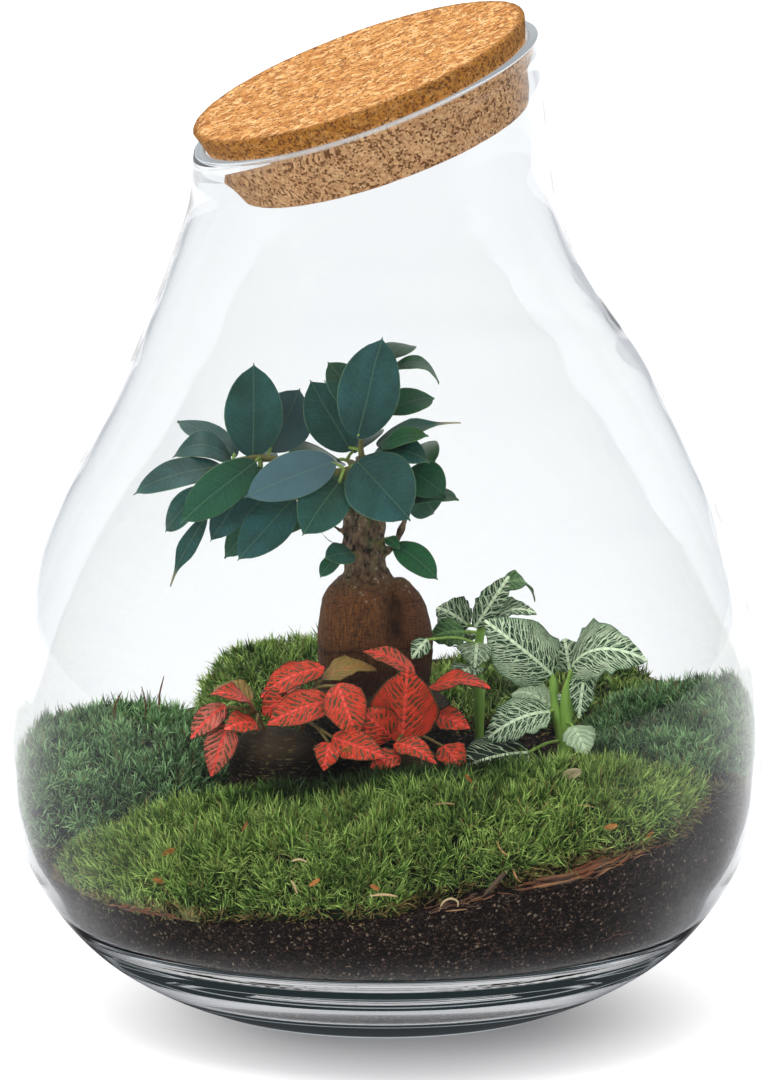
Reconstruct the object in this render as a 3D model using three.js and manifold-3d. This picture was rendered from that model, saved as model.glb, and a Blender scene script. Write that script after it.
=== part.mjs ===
// Glass plant terrarium: a drop-shaped blown jar with a slanted mouth and a cork stopper,
// planted with a ficus on a swollen root, red and white fittonias and cushions of moss.
// Millimetres, +Z up. The origin is the middle of the jar's foot, and the mouth slopes down to -X.
// The planting has its own frame, turned about Z: right, back and up, as seen from its front.
import * as THREE from "three";
import { mergeVertices } from "three/addons/utils/BufferGeometryUtils.js";
import Module from "manifold-3d";

const wasm = await Module();
wasm.setup();

// Driving dimensions
const GAP = 0.3; // clearance between pieces that touch
const PLANTING_TURN = -20; // degrees, from the jar's frame to the planting's
const JAR_SIDES = 32;
const JAR_WALL = 3;
const FOOT_RADIUS = 76;
const MOUTH_TILT = 21; // degrees
const MOUTH_HEIGHT = 359.5;
const MOUTH_OFFSET = -8;
const NECK_START = 256; // height at which the jar starts to lean
const LIP_RADIUS = 70.6;
const LIP_BORE = 66.1;
const LIP_HEIGHT = 1.5;
const LIP_BEVEL = 1;
const CORK_TOP_RADIUS = 68.2;
const CORK_BOTTOM_RADIUS = 58.9;
const CORK_ABOVE_MOUTH = 8;
const CORK_BELOW_MOUTH = 24.5;
const CORK_BEVEL = 1.2;
const LEAN_GROWTH = 1.4; // how the lean of the jar's sections builds up towards the mouth
const SOIL_LEVEL = 82; // height of the soil at the axis
const SOIL_RISE_RIGHT = 0.115;
const SOIL_RISE_BACK = 0.13;
const HEAP_HEIGHT = 9; // soil heaped round the foot of each white fittonia
const HEAP_SPREAD = 16;
const CRUMB_HEIGHT = 1.4;
const ROOT_BALL_SIDES = 13;
const ROOT_BALL_ROUGHNESS = 0.1;
const MOSS_TUFT = 4;
const CUSHION_CORNERS = 3; // 2 would make the outline an ellipse, more makes it squarer
const CUSHION_FLATNESS = 3.2; // the same for the section
const MOSS_BURIED = 5; // how far a cushion's rim is drawn below the soil before it is cut there
const BARE_STRIP = 9; // width of the bare soil in front of the moss, at the right
const LEAF_THICKNESS = 0.8;
const SMALL_LEAF = 14; // width under which a leaf has fewer facets
const STALK_RADIUS = 0.7;
const STALKLESS = 3.2; // a leaf this near to its stem grows straight out of it
const STALK_MEETS_LEAF = 0.05; // share of the leaf's length
const LEAF_FOOT = 0.9; // half width
const LEAF_POINT = 0.5; // half width
const RIPPLES_ALONG = 9;
const RIPPLES_ACROSS = 2.2;
const STEM_TAPER = 0.7;
const THINNEST_STEM = 0.8; // radius
const STALK_PLACES = 30; // places along a stem where a stalk can start
const STEM_STEP = 9; // length of one straight stretch of a stem

const at = (right, back, up) => new THREE.Vector3(right, back, up);
const WHITE_RIGHT_FOOT = at(70, -18, 78);
const WHITE_BACK_FOOT = at(38, 20, 80);

// Outside of the glass: middle of each round section (x, height) and its radius
const JAR_PROFILE = [
  [0, 1.5, 80],
  [0, 8, 95],
  [0, 20, 114],
  [0, 36, 129.5],
  [0, 56, 141.5],
  [0, 78, 148],
  [0, 102, 150],
  [0, 127, 149],
  [0, 152, 145],
  [0, 175, 138],
  [1, 195, 130],
  [2.3, 232, 111],
  [1, 256, 99],
  [-5.5, 283, 83.8],
  [-7.8, 305, 75.5],
  [-6.9, 330, 71.3],
  [MOUTH_OFFSET, MOUTH_HEIGHT, 69.5],
];
// Inside of the thick base, up to where the wall begins
const BASE_PROFILE = [
  [0, 13, 50],
  [0, 14, 90],
  [0, 25, 107.5],
  [0, 29.2, 115.5],
  [0, 39.7, 128.5],
];
const WALL_STARTS = 50; // height of the first outside section that the wall follows

const rad = THREE.MathUtils.degToRad;

function seeded(seed) {
  let state = seed;
  return () => {
    state = (state * 1664525 + 1013904223) % 4294967296;
    return state / 4294967296;
  };
}

// Solids and their joins

function solid(geometry) {
  const bare = geometry.clone();
  bare.deleteAttribute("normal");
  bare.deleteAttribute("uv");
  const merged = mergeVertices(bare, 1e-4);
  return new wasm.Manifold(
    new wasm.Mesh({
      numProp: 3,
      vertProperties: Float32Array.from(merged.attributes.position.array),
      triVerts: Uint32Array.from(merged.index.array),
    }),
  );
}

function fuse(solids) {
  return solids.reduce((joined, one) => joined.add(one));
}

function cut(body, cutters) {
  return cutters.reduce((left, cutter) => left.subtract(cutter), body);
}

function largestPiece(body) {
  return body.decompose().reduce((a, b) => (a.volume() > b.volume() ? a : b));
}

function mesh(name, body, colour, roughness) {
  const made = body.getMesh();
  const geometry = new THREE.BufferGeometry();
  geometry.setAttribute(
    "position",
    new THREE.BufferAttribute(Float32Array.from(made.vertProperties), 3),
  );
  geometry.setIndex(new THREE.BufferAttribute(Uint32Array.from(made.triVerts), 1));
  geometry.computeVertexNormals();
  const material = new THREE.MeshStandardMaterial({ color: colour, roughness, metalness: 0 });
  const node = new THREE.Mesh(geometry, material);
  node.name = name;
  return node;
}

// A closed surface through rings of equal count, with a fan of triangles over each end.
function loft(rings) {
  const count = rings[0].length;
  const points = rings.flat();
  const faces = [];
  for (let k = 0; k + 1 < rings.length; k++) {
    for (let i = 0; i < count; i++) {
      const a = k * count + i;
      const b = k * count + ((i + 1) % count);
      faces.push(a, b, b + count, a, b + count, a + count);
    }
  }
  const middle = (ring) =>
    ring.reduce((sum, p) => sum.add(p), new THREE.Vector3()).divideScalar(count);
  points.push(middle(rings[0]), middle(rings.at(-1)));
  const last = (rings.length - 1) * count;
  for (let i = 0; i < count; i++) {
    const j = (i + 1) % count;
    faces.push(points.length - 2, j, i, points.length - 1, last + i, last + j);
  }
  const geometry = new THREE.BufferGeometry().setFromPoints(points);
  geometry.setIndex(faces);
  return geometry;
}

// A round section whose plane tilts about Y, so that its +X side stands higher.
function ring(x, height, radius, tilt, along = 0) {
  const slope = rad(tilt);
  const middle = at(x - along * Math.sin(slope), 0, height + along * Math.cos(slope));
  return Array.from({ length: JAR_SIDES }, (_, i) => {
    const turn = (i * 2 * Math.PI) / JAR_SIDES;
    const out = radius * Math.cos(turn);
    return at(out * Math.cos(slope), radius * Math.sin(turn), out * Math.sin(slope)).add(middle);
  });
}

// Jar

function tiltAt(height) {
  const share = Math.max(0, (height - NECK_START) / (MOUTH_HEIGHT - NECK_START));
  return MOUTH_TILT * share ** LEAN_GROWTH;
}

// The profile moved in by the wall's thickness, square to its slope.
function insideProfile(inset) {
  const wall = JAR_PROFILE.filter(([, height]) => height > WALL_STARTS).map((row) => {
    const k = JAR_PROFILE.indexOf(row);
    const below = JAR_PROFILE[k - 1];
    const above = JAR_PROFILE[k + 1] ?? row;
    const rise = above[1] - below[1];
    const widening = above[2] - below[2];
    const length = Math.hypot(rise, widening);
    const [x, height, radius] = row;
    const up = k === JAR_PROFILE.length - 1 ? 0 : ((JAR_WALL + inset) * widening) / length;
    return [x, height + up, radius - ((JAR_WALL + inset) * rise) / length];
  });
  const base = BASE_PROFILE.map(([x, height, radius]) => [x, height + inset, radius - inset]);
  return [...base, ...wall];
}

const ringAt = ([x, height, radius]) => ring(x, height, radius, tiltAt(height));

function jar() {
  const mouth = (radius, along) => ring(MOUTH_OFFSET, MOUTH_HEIGHT, radius, MOUTH_TILT, along);
  const outside = JAR_PROFILE.slice(0, -1).map(ringAt);
  const inside = insideProfile(0).slice(0, -1).map(ringAt).reverse();
  const lip = [
    mouth(LIP_RADIUS, -LIP_HEIGHT),
    mouth(LIP_RADIUS - LIP_BEVEL, 0),
    mouth(LIP_BORE + LIP_BEVEL, 0),
    mouth(LIP_BORE, -LIP_BEVEL),
  ];
  return solid(loft([ring(0, 0, FOOT_RADIUS, 0), ...outside, ...lip, ...inside]));
}

// The room inside the jar, drawn in by a clearance, in the planting's frame.
function cavity() {
  const room = loft(insideProfile(GAP).map(ringAt));
  return solid(room.rotateZ(rad(-PLANTING_TURN)));
}

function corkLid() {
  const section = (radius, along) =>
    ring(MOUTH_OFFSET, MOUTH_HEIGHT, radius, MOUTH_TILT, along);
  return solid(
    loft([
      section(CORK_BOTTOM_RADIUS - CORK_BEVEL, -CORK_BELOW_MOUTH),
      section(CORK_BOTTOM_RADIUS, CORK_BEVEL - CORK_BELOW_MOUTH),
      section(CORK_TOP_RADIUS, CORK_ABOVE_MOUTH - CORK_BEVEL),
      section(CORK_TOP_RADIUS - CORK_BEVEL, CORK_ABOVE_MOUTH),
    ]),
  );
}

// Soil

// Height of the soil: it rises to the right and to the back, and is heaped at the white fittonias.
function ground(right, back) {
  const slope = SOIL_LEVEL + SOIL_RISE_RIGHT * right + SOIL_RISE_BACK * back;
  const heap = ({ x, y }) =>
    HEAP_HEIGHT * Math.exp(-(((right - x) ** 2 + (back - y) ** 2) / HEAP_SPREAD ** 2));
  const crumbs = CRUMB_HEIGHT * Math.sin(right / 11 + 1) * Math.cos(back / 13);
  return slope + heap(WHITE_RIGHT_FOOT) + heap(WHITE_BACK_FOOT) + crumbs;
}

// A round block under the soil's surface, raised by a clearance.
function groundBlock(raise) {
  const edge = 165;
  const steps = 5;
  const circle = (radius, heightOf) =>
    Array.from({ length: JAR_SIDES }, (_, i) => {
      const turn = (i * 2 * Math.PI) / JAR_SIDES - rad(PLANTING_TURN);
      const right = radius * Math.cos(turn);
      const back = radius * Math.sin(turn);
      return at(right, back, heightOf(right, back));
    });
  const rings = [circle(edge, () => 0)];
  for (let k = 0; k < steps; k++) {
    rings.push(circle(edge * (1 - k / steps), (u, d) => ground(u, d) + raise));
  }
  return solid(loft(rings));
}

// Root balls: tapered plugs of peat, as they come from their pots, with a crumbled shoulder.
function rootBall({ right, back, radius, bottom, top, seed }, grow = 0) {
  const random = seeded(seed);
  const profile = [
    [0.8, 0],
    [0.9, 0.35],
    [1, 0.72],
    [0.93, 0.9],
    [0.7, 1],
    [0.3, 1.03],
  ];
  return solid(
    loft(
      profile.map(([share, rise], k) =>
        Array.from({ length: ROOT_BALL_SIDES }, (_, i) => {
          const turn = (i * 2 * Math.PI) / ROOT_BALL_SIDES;
          const rough = k < 2 ? 0 : ROOT_BALL_ROUGHNESS * (random() - 0.5);
          const reach = radius * share * (1 + rough) + grow;
          const lift = k === 0 ? -grow : grow;
          const height = bottom + (top - bottom) * rise + lift;
          return at(right + reach * Math.cos(turn), back + reach * Math.sin(turn), height);
        }),
      ),
    ),
  );
}

// Moss: a cushion over the soil, with its front and back of different depth, in tufts. It
// reaches the glass, except for a strip of bare soil in front of its right half.
function cushion(shape, grow = 0) {
  const { right, back, length, front, behind, height, reach, sides, seed, bare = 0 } = shape;
  const random = seeded(seed);
  const shares = [1.02, 1, 0.93, 0.8, 0.6, 0.3];
  const outline = (turn) => {
    const u = Math.cos(turn);
    const d = Math.sin(turn);
    const depth = d < 0 ? front : behind;
    const x = Math.abs(u) / length;
    const y = Math.abs(d) / depth;
    const own = (x ** CUSHION_CORNERS + y ** CUSHION_CORNERS) ** (-1 / CUSHION_CORNERS);
    const toMiddle = right * u + back * d;
    const limit = reach - (u > 0 && d < 0 ? bare * Math.sin(2 * Math.atan2(u, -d)) : 0);
    const toGlass = -toMiddle + Math.sqrt(toMiddle ** 2 + limit ** 2 - right ** 2 - back ** 2);
    return Math.min(own, toGlass) + grow;
  };
  const rings = shares.map((share, k) =>
    Array.from({ length: sides }, (_, i) => {
      const turn = ((i + 0.5 * (k % 2)) * 2 * Math.PI) / sides;
      const away = share * outline(turn);
      const u = right + away * Math.cos(turn);
      const d = back + away * Math.sin(turn);
      if (k < 2) return at(u, d, ground(u, d) + grow - MOSS_BURIED * (2 - k));
      const dome = height * Math.sqrt(1 - share ** CUSHION_FLATNESS);
      const tuft = MOSS_TUFT * ((k + i) % 2 ? 0.4 + 0.6 * random() : -0.4 * random());
      return at(u, d, ground(u, d) + dome + tuft + grow);
    }),
  );
  return solid(loft(rings));
}

// A strip of bark that lies on the bare soil, along the glass.
const BARK = { start: -66, end: -49, inner: 133, outer: 139.5, thickness: 3.2 }; // degrees, mm
function barkStrip() {
  const steps = 5;
  const rings = Array.from({ length: steps + 1 }, (_, k) => {
    const turn = rad(THREE.MathUtils.lerp(BARK.end, BARK.start, k / steps));
    const ragged = k % 2 ? 1 : -0.6;
    const corner = (radius, lift) => {
      const u = radius * Math.cos(turn);
      const d = radius * Math.sin(turn);
      return at(u, d, ground(u, d) + lift);
    };
    return [
      corner(BARK.inner + ragged, -BARK.thickness),
      corner(BARK.outer + ragged, -BARK.thickness),
      corner(BARK.outer - ragged, BARK.thickness),
      corner(BARK.inner + 2 + ragged, BARK.thickness + ragged),
    ];
  });
  return solid(loft(rings));
}

// Stems and leaves

// A round stem through given points, its radius going from one end's to the other's.
function stem(points, startRadius, endRadius, sides = 5) {
  const curve = new THREE.CatmullRomCurve3(points);
  const steps = Math.max(points.length - 1, Math.round(curve.getLength() / STEM_STEP));
  const frames = curve.computeFrenetFrames(steps);
  const rings = curve.getSpacedPoints(steps).map((middle, k) => {
    const radius = THREE.MathUtils.lerp(startRadius, endRadius, k / steps);
    return Array.from({ length: sides }, (_, i) => {
      const turn = (i * 2 * Math.PI) / sides;
      return middle
        .clone()
        .addScaledVector(frames.normals[k], radius * Math.cos(turn))
        .addScaledVector(frames.binormals[k], radius * Math.sin(turn));
    });
  });
  return solid(loft(rings));
}

const tipRadius = (radius) => Math.max(THINNEST_STEM, STEM_TAPER * radius);

// A straight three-sided stalk.
function stalk(from, to) {
  const along = to.clone().sub(from).normalize();
  const across = at(along.y, -along.x, 0);
  if (across.length() < 0.1) across.set(1, 0, 0);
  across.normalize();
  const over = along.clone().cross(across);
  const ends = [from, to].map((middle) =>
    [0, 1, 2].map((i) => {
      const turn = (i * 2 * Math.PI) / 3;
      return middle
        .clone()
        .addScaledVector(across, STALK_RADIUS * Math.cos(turn))
        .addScaledVector(over, STALK_RADIUS * Math.sin(turn));
    }),
  );
  return solid(loft(ends));
}

// The way a leaf's face looks. Lean is 0 where it faces up, 1 where it faces the planting's
// front and -1 where it faces the back.
function leafNormal(base, tip, lean) {
  const axis = tip.clone().sub(base).normalize();
  const face = at(0, -lean, 1.05 - Math.abs(lean));
  return face.addScaledVector(axis, -face.dot(axis)).normalize();
}

// A point of a leaf's midrib, from 0 at its base to 1 at its tip. Arch lifts its middle.
function midrib(base, tip, normal, arch, t) {
  return base
    .clone()
    .lerp(tip, t)
    .addScaledVector(normal, arch * 4 * t * (1 - t));
}

// A thin blade with equal triangles on both faces.
function blade(base, tip, width, normal, arch, style) {
  const side = tip.clone().sub(base).normalize().cross(normal);
  const { columns, fold, wave, fullest } = style;
  const rows = width < SMALL_LEAF ? 3 : 4;
  const vertex = (k, j, thickness) => {
    const t = (1 - Math.cos((Math.PI * k) / rows)) / 2;
    const s = (2 * j) / columns - 1;
    const taper = Math.sin(Math.PI * t ** fullest) ** 0.75;
    const half = Math.max(k === 0 ? LEAF_FOOT : LEAF_POINT, (width / 2) * taper);
    const ripple = wave * s * s * Math.sin(RIPPLES_ALONG * t + RIPPLES_ACROSS * s) * taper;
    return midrib(base, tip, normal, arch, t)
      .addScaledVector(side, s * half)
      .addScaledVector(normal, fold * Math.abs(s) * half + ripple + thickness);
  };
  const points = [];
  for (const thickness of [LEAF_THICKNESS / 2, -LEAF_THICKNESS / 2]) {
    for (let k = 0; k <= rows; k++) {
      for (let j = 0; j <= columns; j++) {
        points.push(vertex(k, j, thickness));
      }
    }
  }
  const under = points.length / 2;
  const id = (k, j) => k * (columns + 1) + j;
  const faces = [];
  const quad = (a, b, c, d) => faces.push(a, b, c, a, c, d);
  for (let k = 0; k < rows; k++) {
    for (let j = 0; j < columns; j++) {
      const [a, b, c, d] = [id(k, j), id(k, j + 1), id(k + 1, j + 1), id(k + 1, j)];
      faces.push(a, b, c, a, c, d);
      faces.push(under + a, under + c, under + b, under + a, under + d, under + c);
    }
    quad(id(k, 0), id(k + 1, 0), under + id(k + 1, 0), under + id(k, 0));
    quad(id(k + 1, columns), id(k, columns), under + id(k, columns), under + id(k + 1, columns));
  }
  for (let j = 0; j < columns; j++) {
    quad(id(0, j + 1), id(0, j), under + id(0, j), under + id(0, j + 1));
    quad(id(rows, j), id(rows, j + 1), under + id(rows, j + 1), under + id(rows, j));
  }
  const geometry = new THREE.BufferGeometry().setFromPoints(points);
  geometry.setIndex(faces);
  return solid(geometry);
}

// A stem with its leaves, each on a stalk from the nearest point of the stem.
// Stalks leave it above barkTo, clear of its root ball.
// A leaf is: base right, back, up; tip right, back, up; width; lean; arch.
function leafyStem({ stems, leaves, style, barkTo = 0 }) {
  const bodies = [];
  const spots = [];
  for (const { points, radius } of stems) {
    bodies.push(stem(points, radius, tipRadius(radius)));
    const places = new THREE.CatmullRomCurve3(points).getSpacedPoints(STALK_PLACES);
    spots.push(...places.slice(1, -1).filter((spot) => spot.z > barkTo));
  }
  for (const [u0, d0, z0, u1, d1, z1, width, lean, arch] of leaves) {
    const given = at(u0, d0, z0);
    const tip = at(u1, d1, z1);
    const foot = spots.reduce((a, b) => (a.distanceTo(given) < b.distanceTo(given) ? a : b));
    const stalked = foot.distanceTo(given) > STALKLESS;
    const base = stalked ? given : foot;
    const normal = leafNormal(base, tip, lean);
    if (stalked) {
      bodies.push(stalk(foot, midrib(base, tip, normal, arch, STALK_MEETS_LEAF)));
    }
    bodies.push(blade(base, tip, width, normal, arch, style));
  }
  return fuse(bodies);
}

const FICUS_LEAF = { columns: 2, fold: 0.12, wave: 0, fullest: 0.95 };
const RED_LEAF = { columns: 2, fold: 0.15, wave: 1.4, fullest: 0.8 };
const WHITE_LEAF = { columns: 2, fold: 0.1, wave: 1.5, fullest: 0.8 };

// Ficus

const CAUDEX_LEFT = [
  [-9, -2, 116, 12],
  [-10, -2, 124, 15],
  [-10, -2, 138, 16.2],
  [-10, -2, 152, 15.3],
  [-9.6, -2, 160, 14],
  [-8.5, -1, 167, 8],
];
const CAUDEX_RIGHT = [
  [7.5, 2, 116, 9.5],
  [7.5, 2, 124, 10.8],
  [8, 2, 140, 11],
  [6.5, 2, 153, 10],
  [4.5, 1, 160, 7.5],
  [3, 1, 165, 5],
];
const NECK = [
  [-4.5, 0, 150, 12],
  [-6.5, 0, 166, 10],
  [-7.6, 0, 172, 8.4],
  [-7.6, 0, 180, 8.2],
  [-8, 0, 190, 8.6],
  [-8, 0, 199, 8.2],
  [-7.5, 0, 208, 6.2],
  [-8, 0, 215, 3.4],
];

// A knobbly upright body through round sections: right, back, up, radius.
function knobbly(sections, grow, sides, roughness, seed) {
  const random = seeded(seed);
  const rings = sections.map(([right, back, up, radius], k) =>
    Array.from({ length: sides }, (_, i) => {
      const turn = (i * 2 * Math.PI) / sides;
      const rough = 1 + roughness * (random() - 0.5);
      const reach = radius * rough + grow;
      const lift = k === 0 ? -grow : k === sections.length - 1 ? grow : 0;
      return at(right + reach * Math.cos(turn), back + reach * Math.sin(turn), up + lift);
    }),
  );
  return solid(loft(rings));
}

function ficusTrunk(grow = 0) {
  return fuse([
    knobbly(CAUDEX_LEFT, grow, 14, 0.05, 3),
    knobbly(CAUDEX_RIGHT, grow, 12, 0.05, 5),
    knobbly(NECK, grow, 10, 0.16, 7),
  ]);
}

const FICUS_SHOOTS = {
  left: {
    style: FICUS_LEAF,
    stems: [
      {
        radius: 1.7,
        points: [
          at(-9, 0, 204),
          at(-25, 0, 211),
          at(-39, 1, 213),
          at(-51, 1, 214),
          at(-62, 3, 211),
          at(-69, 6, 202),
          at(-70, 8, 187),
        ],
      },
    ],
    leaves: [
      [-51, 2, 216, -51, 8, 250, 23, 1, -2],
      [-45, 10, 215, -33, 22, 238, 22, 0.8, -2],
      [-58, 12, 213, -82, 26, 225, 16, 0.15, 1],
      [-60, 6, 212, -83, 5, 214, 15, 0.4, 7],
      [-63, -4, 211, -98, -8, 201, 15, 0.5, 4],
      [-50, -8, 214, -79, -20, 192, 17, 0.8, 2],
      [-70, 8, 201, -87, 16, 182, 12, 0.6, 2],
      [-48, -4, 211, -68, -12, 183, 15, 0.8, 2],
      [-70, 8, 187, -85, 14, 160, 8, 0.6, 3],
      [-48, 10, 211, -59, 42, 214, 20, -0.6, 3],
      [-48, 12, 207, -53, 40, 186, 20, -0.7, 3],
    ],
  },
  low_left: {
    style: FICUS_LEAF,
    stems: [{ radius: 1.5, points: [at(-9, -3, 196), at(-24, -6, 200), at(-38, -6, 198)] }],
    leaves: [
      [-41, -2, 198, -63, 0, 174, 14, 0.6, 2],
      [-35, -8, 197, -57, -20, 177, 18, 0.7, 2],
      [-22, 2, 191, -39, -2, 184, 12, 0.2, 2],
    ],
  },
  top: {
    style: FICUS_LEAF,
    stems: [{ radius: 1.7, points: [at(-8, 1, 209), at(-9, 2, 220), at(-5, 5, 232), at(1, 7, 246)] }],
    leaves: [
      [-10.5, -4, 222, -0.5, -2, 262, 24, 1, -2],
      [-13, 4, 216, -29, 10, 243, 21, 0.9, -2],
      [-9, 9, 232, -22, 15, 249, 14, 0.6, 2],
      [2, 8, 251, 11, 26, 254, 12, 0.3, 2],
      [3, 7, 247, 22, 12, 242.5, 9, 0.3, 5],
      [0, 7, 231, 20, 18, 236, 13, 0.5, 2],
      [-13, 10, 224, -22, 42, 236, 21, -0.6, 3],
      [-5, 10, 224, 5, 42, 232, 21, -0.6, 3],
    ],
  },
  right: {
    style: FICUS_LEAF,
    stems: [
      {
        radius: 1.6,
        points: [at(-6, 0, 205), at(1, 1, 214), at(8, 2, 212), at(11, 3, 202), at(10, 3, 194)],
      },
    ],
    leaves: [
      [-3, 0, 219, 29.5, -8, 230, 15, 0.3, 2],
      [-1, -6, 219, 17, -12, 225, 11, 0.4, 2],
      [-4, -2, 216, 17.5, -12, 214.5, 16, 0.45, 4],
      [11, 2, 209, 24, -6, 200, 16, 0.7, 2],
      [11, 1, 193, 29, -8, 199, 13, 0.3, 2],
      [11, 6, 204, 20, 17, 188, 16, 0.8, 2],
      [5, 10, 213, 20, 44, 205, 20, -0.6, 3],
    ],
  },
  front: {
    style: FICUS_LEAF,
    stems: [{ radius: 1.5, points: [at(-8, -2, 205), at(-12, -9, 211), at(-16, -13, 212)] }],
    leaves: [
      [-10.5, -13, 215, 10, -32, 195, 28, 0.8, 2],
      [-19, -13, 215, -54, -27, 203, 19, 0.7, 2],
      [-17, -15, 207.5, -31.5, -30, 189, 20, 0.8, 2],
    ],
  },
  back: {
    style: FICUS_LEAF,
    stems: [{ radius: 1.6, points: [at(-7, 2, 204), at(-10, 10, 209), at(-15, 18, 210)] }],
    leaves: [
      [-18, 18, 210, -38, 46, 203, 20, -0.6, 3],
      [-13, 18, 207, -14, 46, 188, 20, -0.6, 3],
      [-12, 20, 213, -6, 48, 214, 20, -0.5, 3],
    ],
  },
  sprout_left: {
    style: FICUS_LEAF,
    stems: [{ radius: 1.1, points: [at(-9, -5, 176), at(-14, -11, 178), at(-18, -13, 177)] }],
    leaves: [
      [-12, -14, 178.5, -23, -25, 179, 11, 0.6, 1],
      [-18, -13, 176, -25, -18, 169.8, 7, 0.5, 1],
    ],
  },
  sprout_right: {
    style: FICUS_LEAF,
    stems: [{ radius: 1.1, points: [at(-4, -4, 180), at(1, -9, 184)] }],
    leaves: [
      [4, -11, 182, 21, -18, 169, 12, 0.6, 2],
      [0, -11, 186, 6, -15, 181, 5, 0.6, 1],
    ],
  },
};

// Red fittonias, in two root balls in front of the ficus

const RED_SHOOTS = {
  left: {
    style: RED_LEAF,
    barkTo: 117,
    stems: [
      { radius: 1.5, points: [at(-46, -38, 104), at(-47, -39, 115), at(-50, -41, 122)] },
    ],
    leaves: [
      [-49, -42, 123, -66, -50, 131, 14, 0.3, 3],
      [-61, -42, 124, -74.5, -50, 113, 11, 0.6, 3],
      [-60, -46, 118, -66.5, -57, 99.5, 13, 0.7, 3],
      [-49, -48, 118, -61, -60, 119, 12, 0.5, 2],
      [-52, -36, 124, -66, -24, 128, 14, 0.2, 2],
    ],
  },
  middle: {
    style: RED_LEAF,
    barkTo: 118,
    stems: [
      { radius: 1.5, points: [at(-34, -36, 104), at(-31, -37, 118), at(-27, -37, 130)] },
    ],
    leaves: [
      [-20, -44, 126.5, -45, -51, 119, 15, 0.6, 3],
      [-23, -34, 137, -48, -40, 127.5, 13, 0.45, 3],
      [-24, -33, 132, -3, -29, 136, 13, 0.3, 3],
      [-18, -45, 133, -10.5, -59, 115.5, 17, 0.8, 2],
      [-20, -53, 114, 0, -70, 110, 13, 0.8, 2],
      [-21, -54, 112, -23, -64, 103.5, 11, 0.8, 2],
      [-37, -41, 128, -47, -44, 121, 12, 0.8, 2],
      [-34, -30, 125, -48, -16, 124, 14, 0.1, 2],
    ],
  },
  right: {
    style: RED_LEAF,
    barkTo: 112,
    stems: [
      { radius: 1.6, points: [at(9, -44, 100), at(9, -41, 112), at(11, -35, 124), at(13, -32, 130)] },
    ],
    leaves: [
      [7, -48, 111, 9, -53, 140, 27, 1, -2],
      [3, -48, 113, -9, -55, 125, 16, 0.8, 2],
      [4, -56, 112, 20, -67, 107, 10, 0.5, 3],
      [17, -32, 128, 41, -38, 131, 12, 0.25, 3],
      [20, -36, 119, 33, -44, 116, 10, 0.7, 2],
      [12, -31, 133, -8, -27, 143, 10, 0.4, 3],
      [23, -46, 109, 30, -57, 101, 12, 0.6, 2],
      [6, -60, 108, -5, -66, 105, 10, 0.6, 2],
    ],
  },
};

// White fittonias, which stand in holes in the soil

const WHITE_SHOOTS = {
  right: {
    style: WHITE_LEAF,
    stems: [
      { radius: 3.4, points: [WHITE_RIGHT_FOOT, at(71, -18, 104), at(72, -15, 129)] },
      { radius: 2.2, points: [at(70, -18, 104), at(67, -16, 118), at(66, -15, 131)] },
    ],
    leaves: [
      [66, -16, 131, 40, -24, 154, 26, 0.8, 3],
      [73.5, -14, 133, 102, -21, 138, 24, 0.6, 13],
      [73, -9, 130, 71, -4, 143, 16, 0.8, 0],
      [65, -20, 117, 38, -30, 107, 17, 0.6, 7],
      [57, -27, 102, 26, -44, 98, 20, 0.5, 3],
      [74, -23, 112, 79, -33, 103, 13, 0.7, 1],
      [79, -15, 134, 76, -22, 115, 10, 0.5, 2],
      [67, -10, 116, 50, -2, 121, 14, 0.4, 3],
      [78, -6, 129, 99, 1, 132, 11, -0.1, 3],
      [71, -8, 118, 68, 12, 112, 15, -0.2, 4],
    ],
  },
  back: {
    style: WHITE_LEAF,
    stems: [
      {
        radius: 2.4,
        points: [WHITE_BACK_FOOT, at(38, 21, 110), at(38, 27, 136), at(41, 31, 150)],
      },
    ],
    leaves: [
      [32, 25, 140, 18, 18, 139, 13, 0.7, 3],
      [34, 32, 141, 21, 36, 148, 16, 0.6, 2],
      [36, 24, 142, 50, 31, 161, 11, 0.8, 2],
      [44, 31, 155, 61, 39, 151, 10, 0.3, 6],
      [17, -10, 144, 11, -15, 137, 8, 0.7, 1],
      [43, 30, 143, 60, 24, 149, 13, 0.3, 3],
      [37, 20, 136, 36, 7, 129, 17, 0.6, 3],
      [37, 16, 126, 29, 2, 124, 14, 0.3, 3],
      [42, 26, 132, 56, 36, 128, 14, 0.1, 3],
      [38, 34, 136, 34, 50, 132, 14, -0.4, 3],
    ],
  },
};

// Build

const room = cavity();
const overGround = groundBlock(GAP);

const FICUS_BALL = { right: -2, back: 2, radius: 31, bottom: 56, top: 121, seed: 11 };
const RED_BALLS = {
  left: { right: -42, back: -38, radius: 19, bottom: 52, top: 112, seed: 13 },
  right: { right: 9, back: -46, radius: 16.5, bottom: 52, top: 106, seed: 17 },
};
const CUSHIONS = {
  front: {
    right: 0, back: -88, length: 150, front: 60, behind: 38, height: 30,
    reach: 141, bare: BARE_STRIP, sides: 40, seed: 31,
  },
  left: {
    right: -125, back: 18, length: 67, front: 56, behind: 62, height: 30,
    reach: 190, sides: 28, seed: 32,
  },
  right: {
    right: 140, back: 4, length: 66, front: 54, behind: 60, height: 15,
    reach: 190, sides: 24, seed: 33,
  },
  back_left: {
    right: -34, back: 74, length: 46, front: 36, behind: 52, height: 33,
    reach: 146, sides: 24, seed: 34,
  },
  back_right: {
    right: 58, back: 86, length: 54, front: 44, behind: 52, height: 9,
    reach: 146, sides: 24, seed: 35,
  },
};

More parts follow.
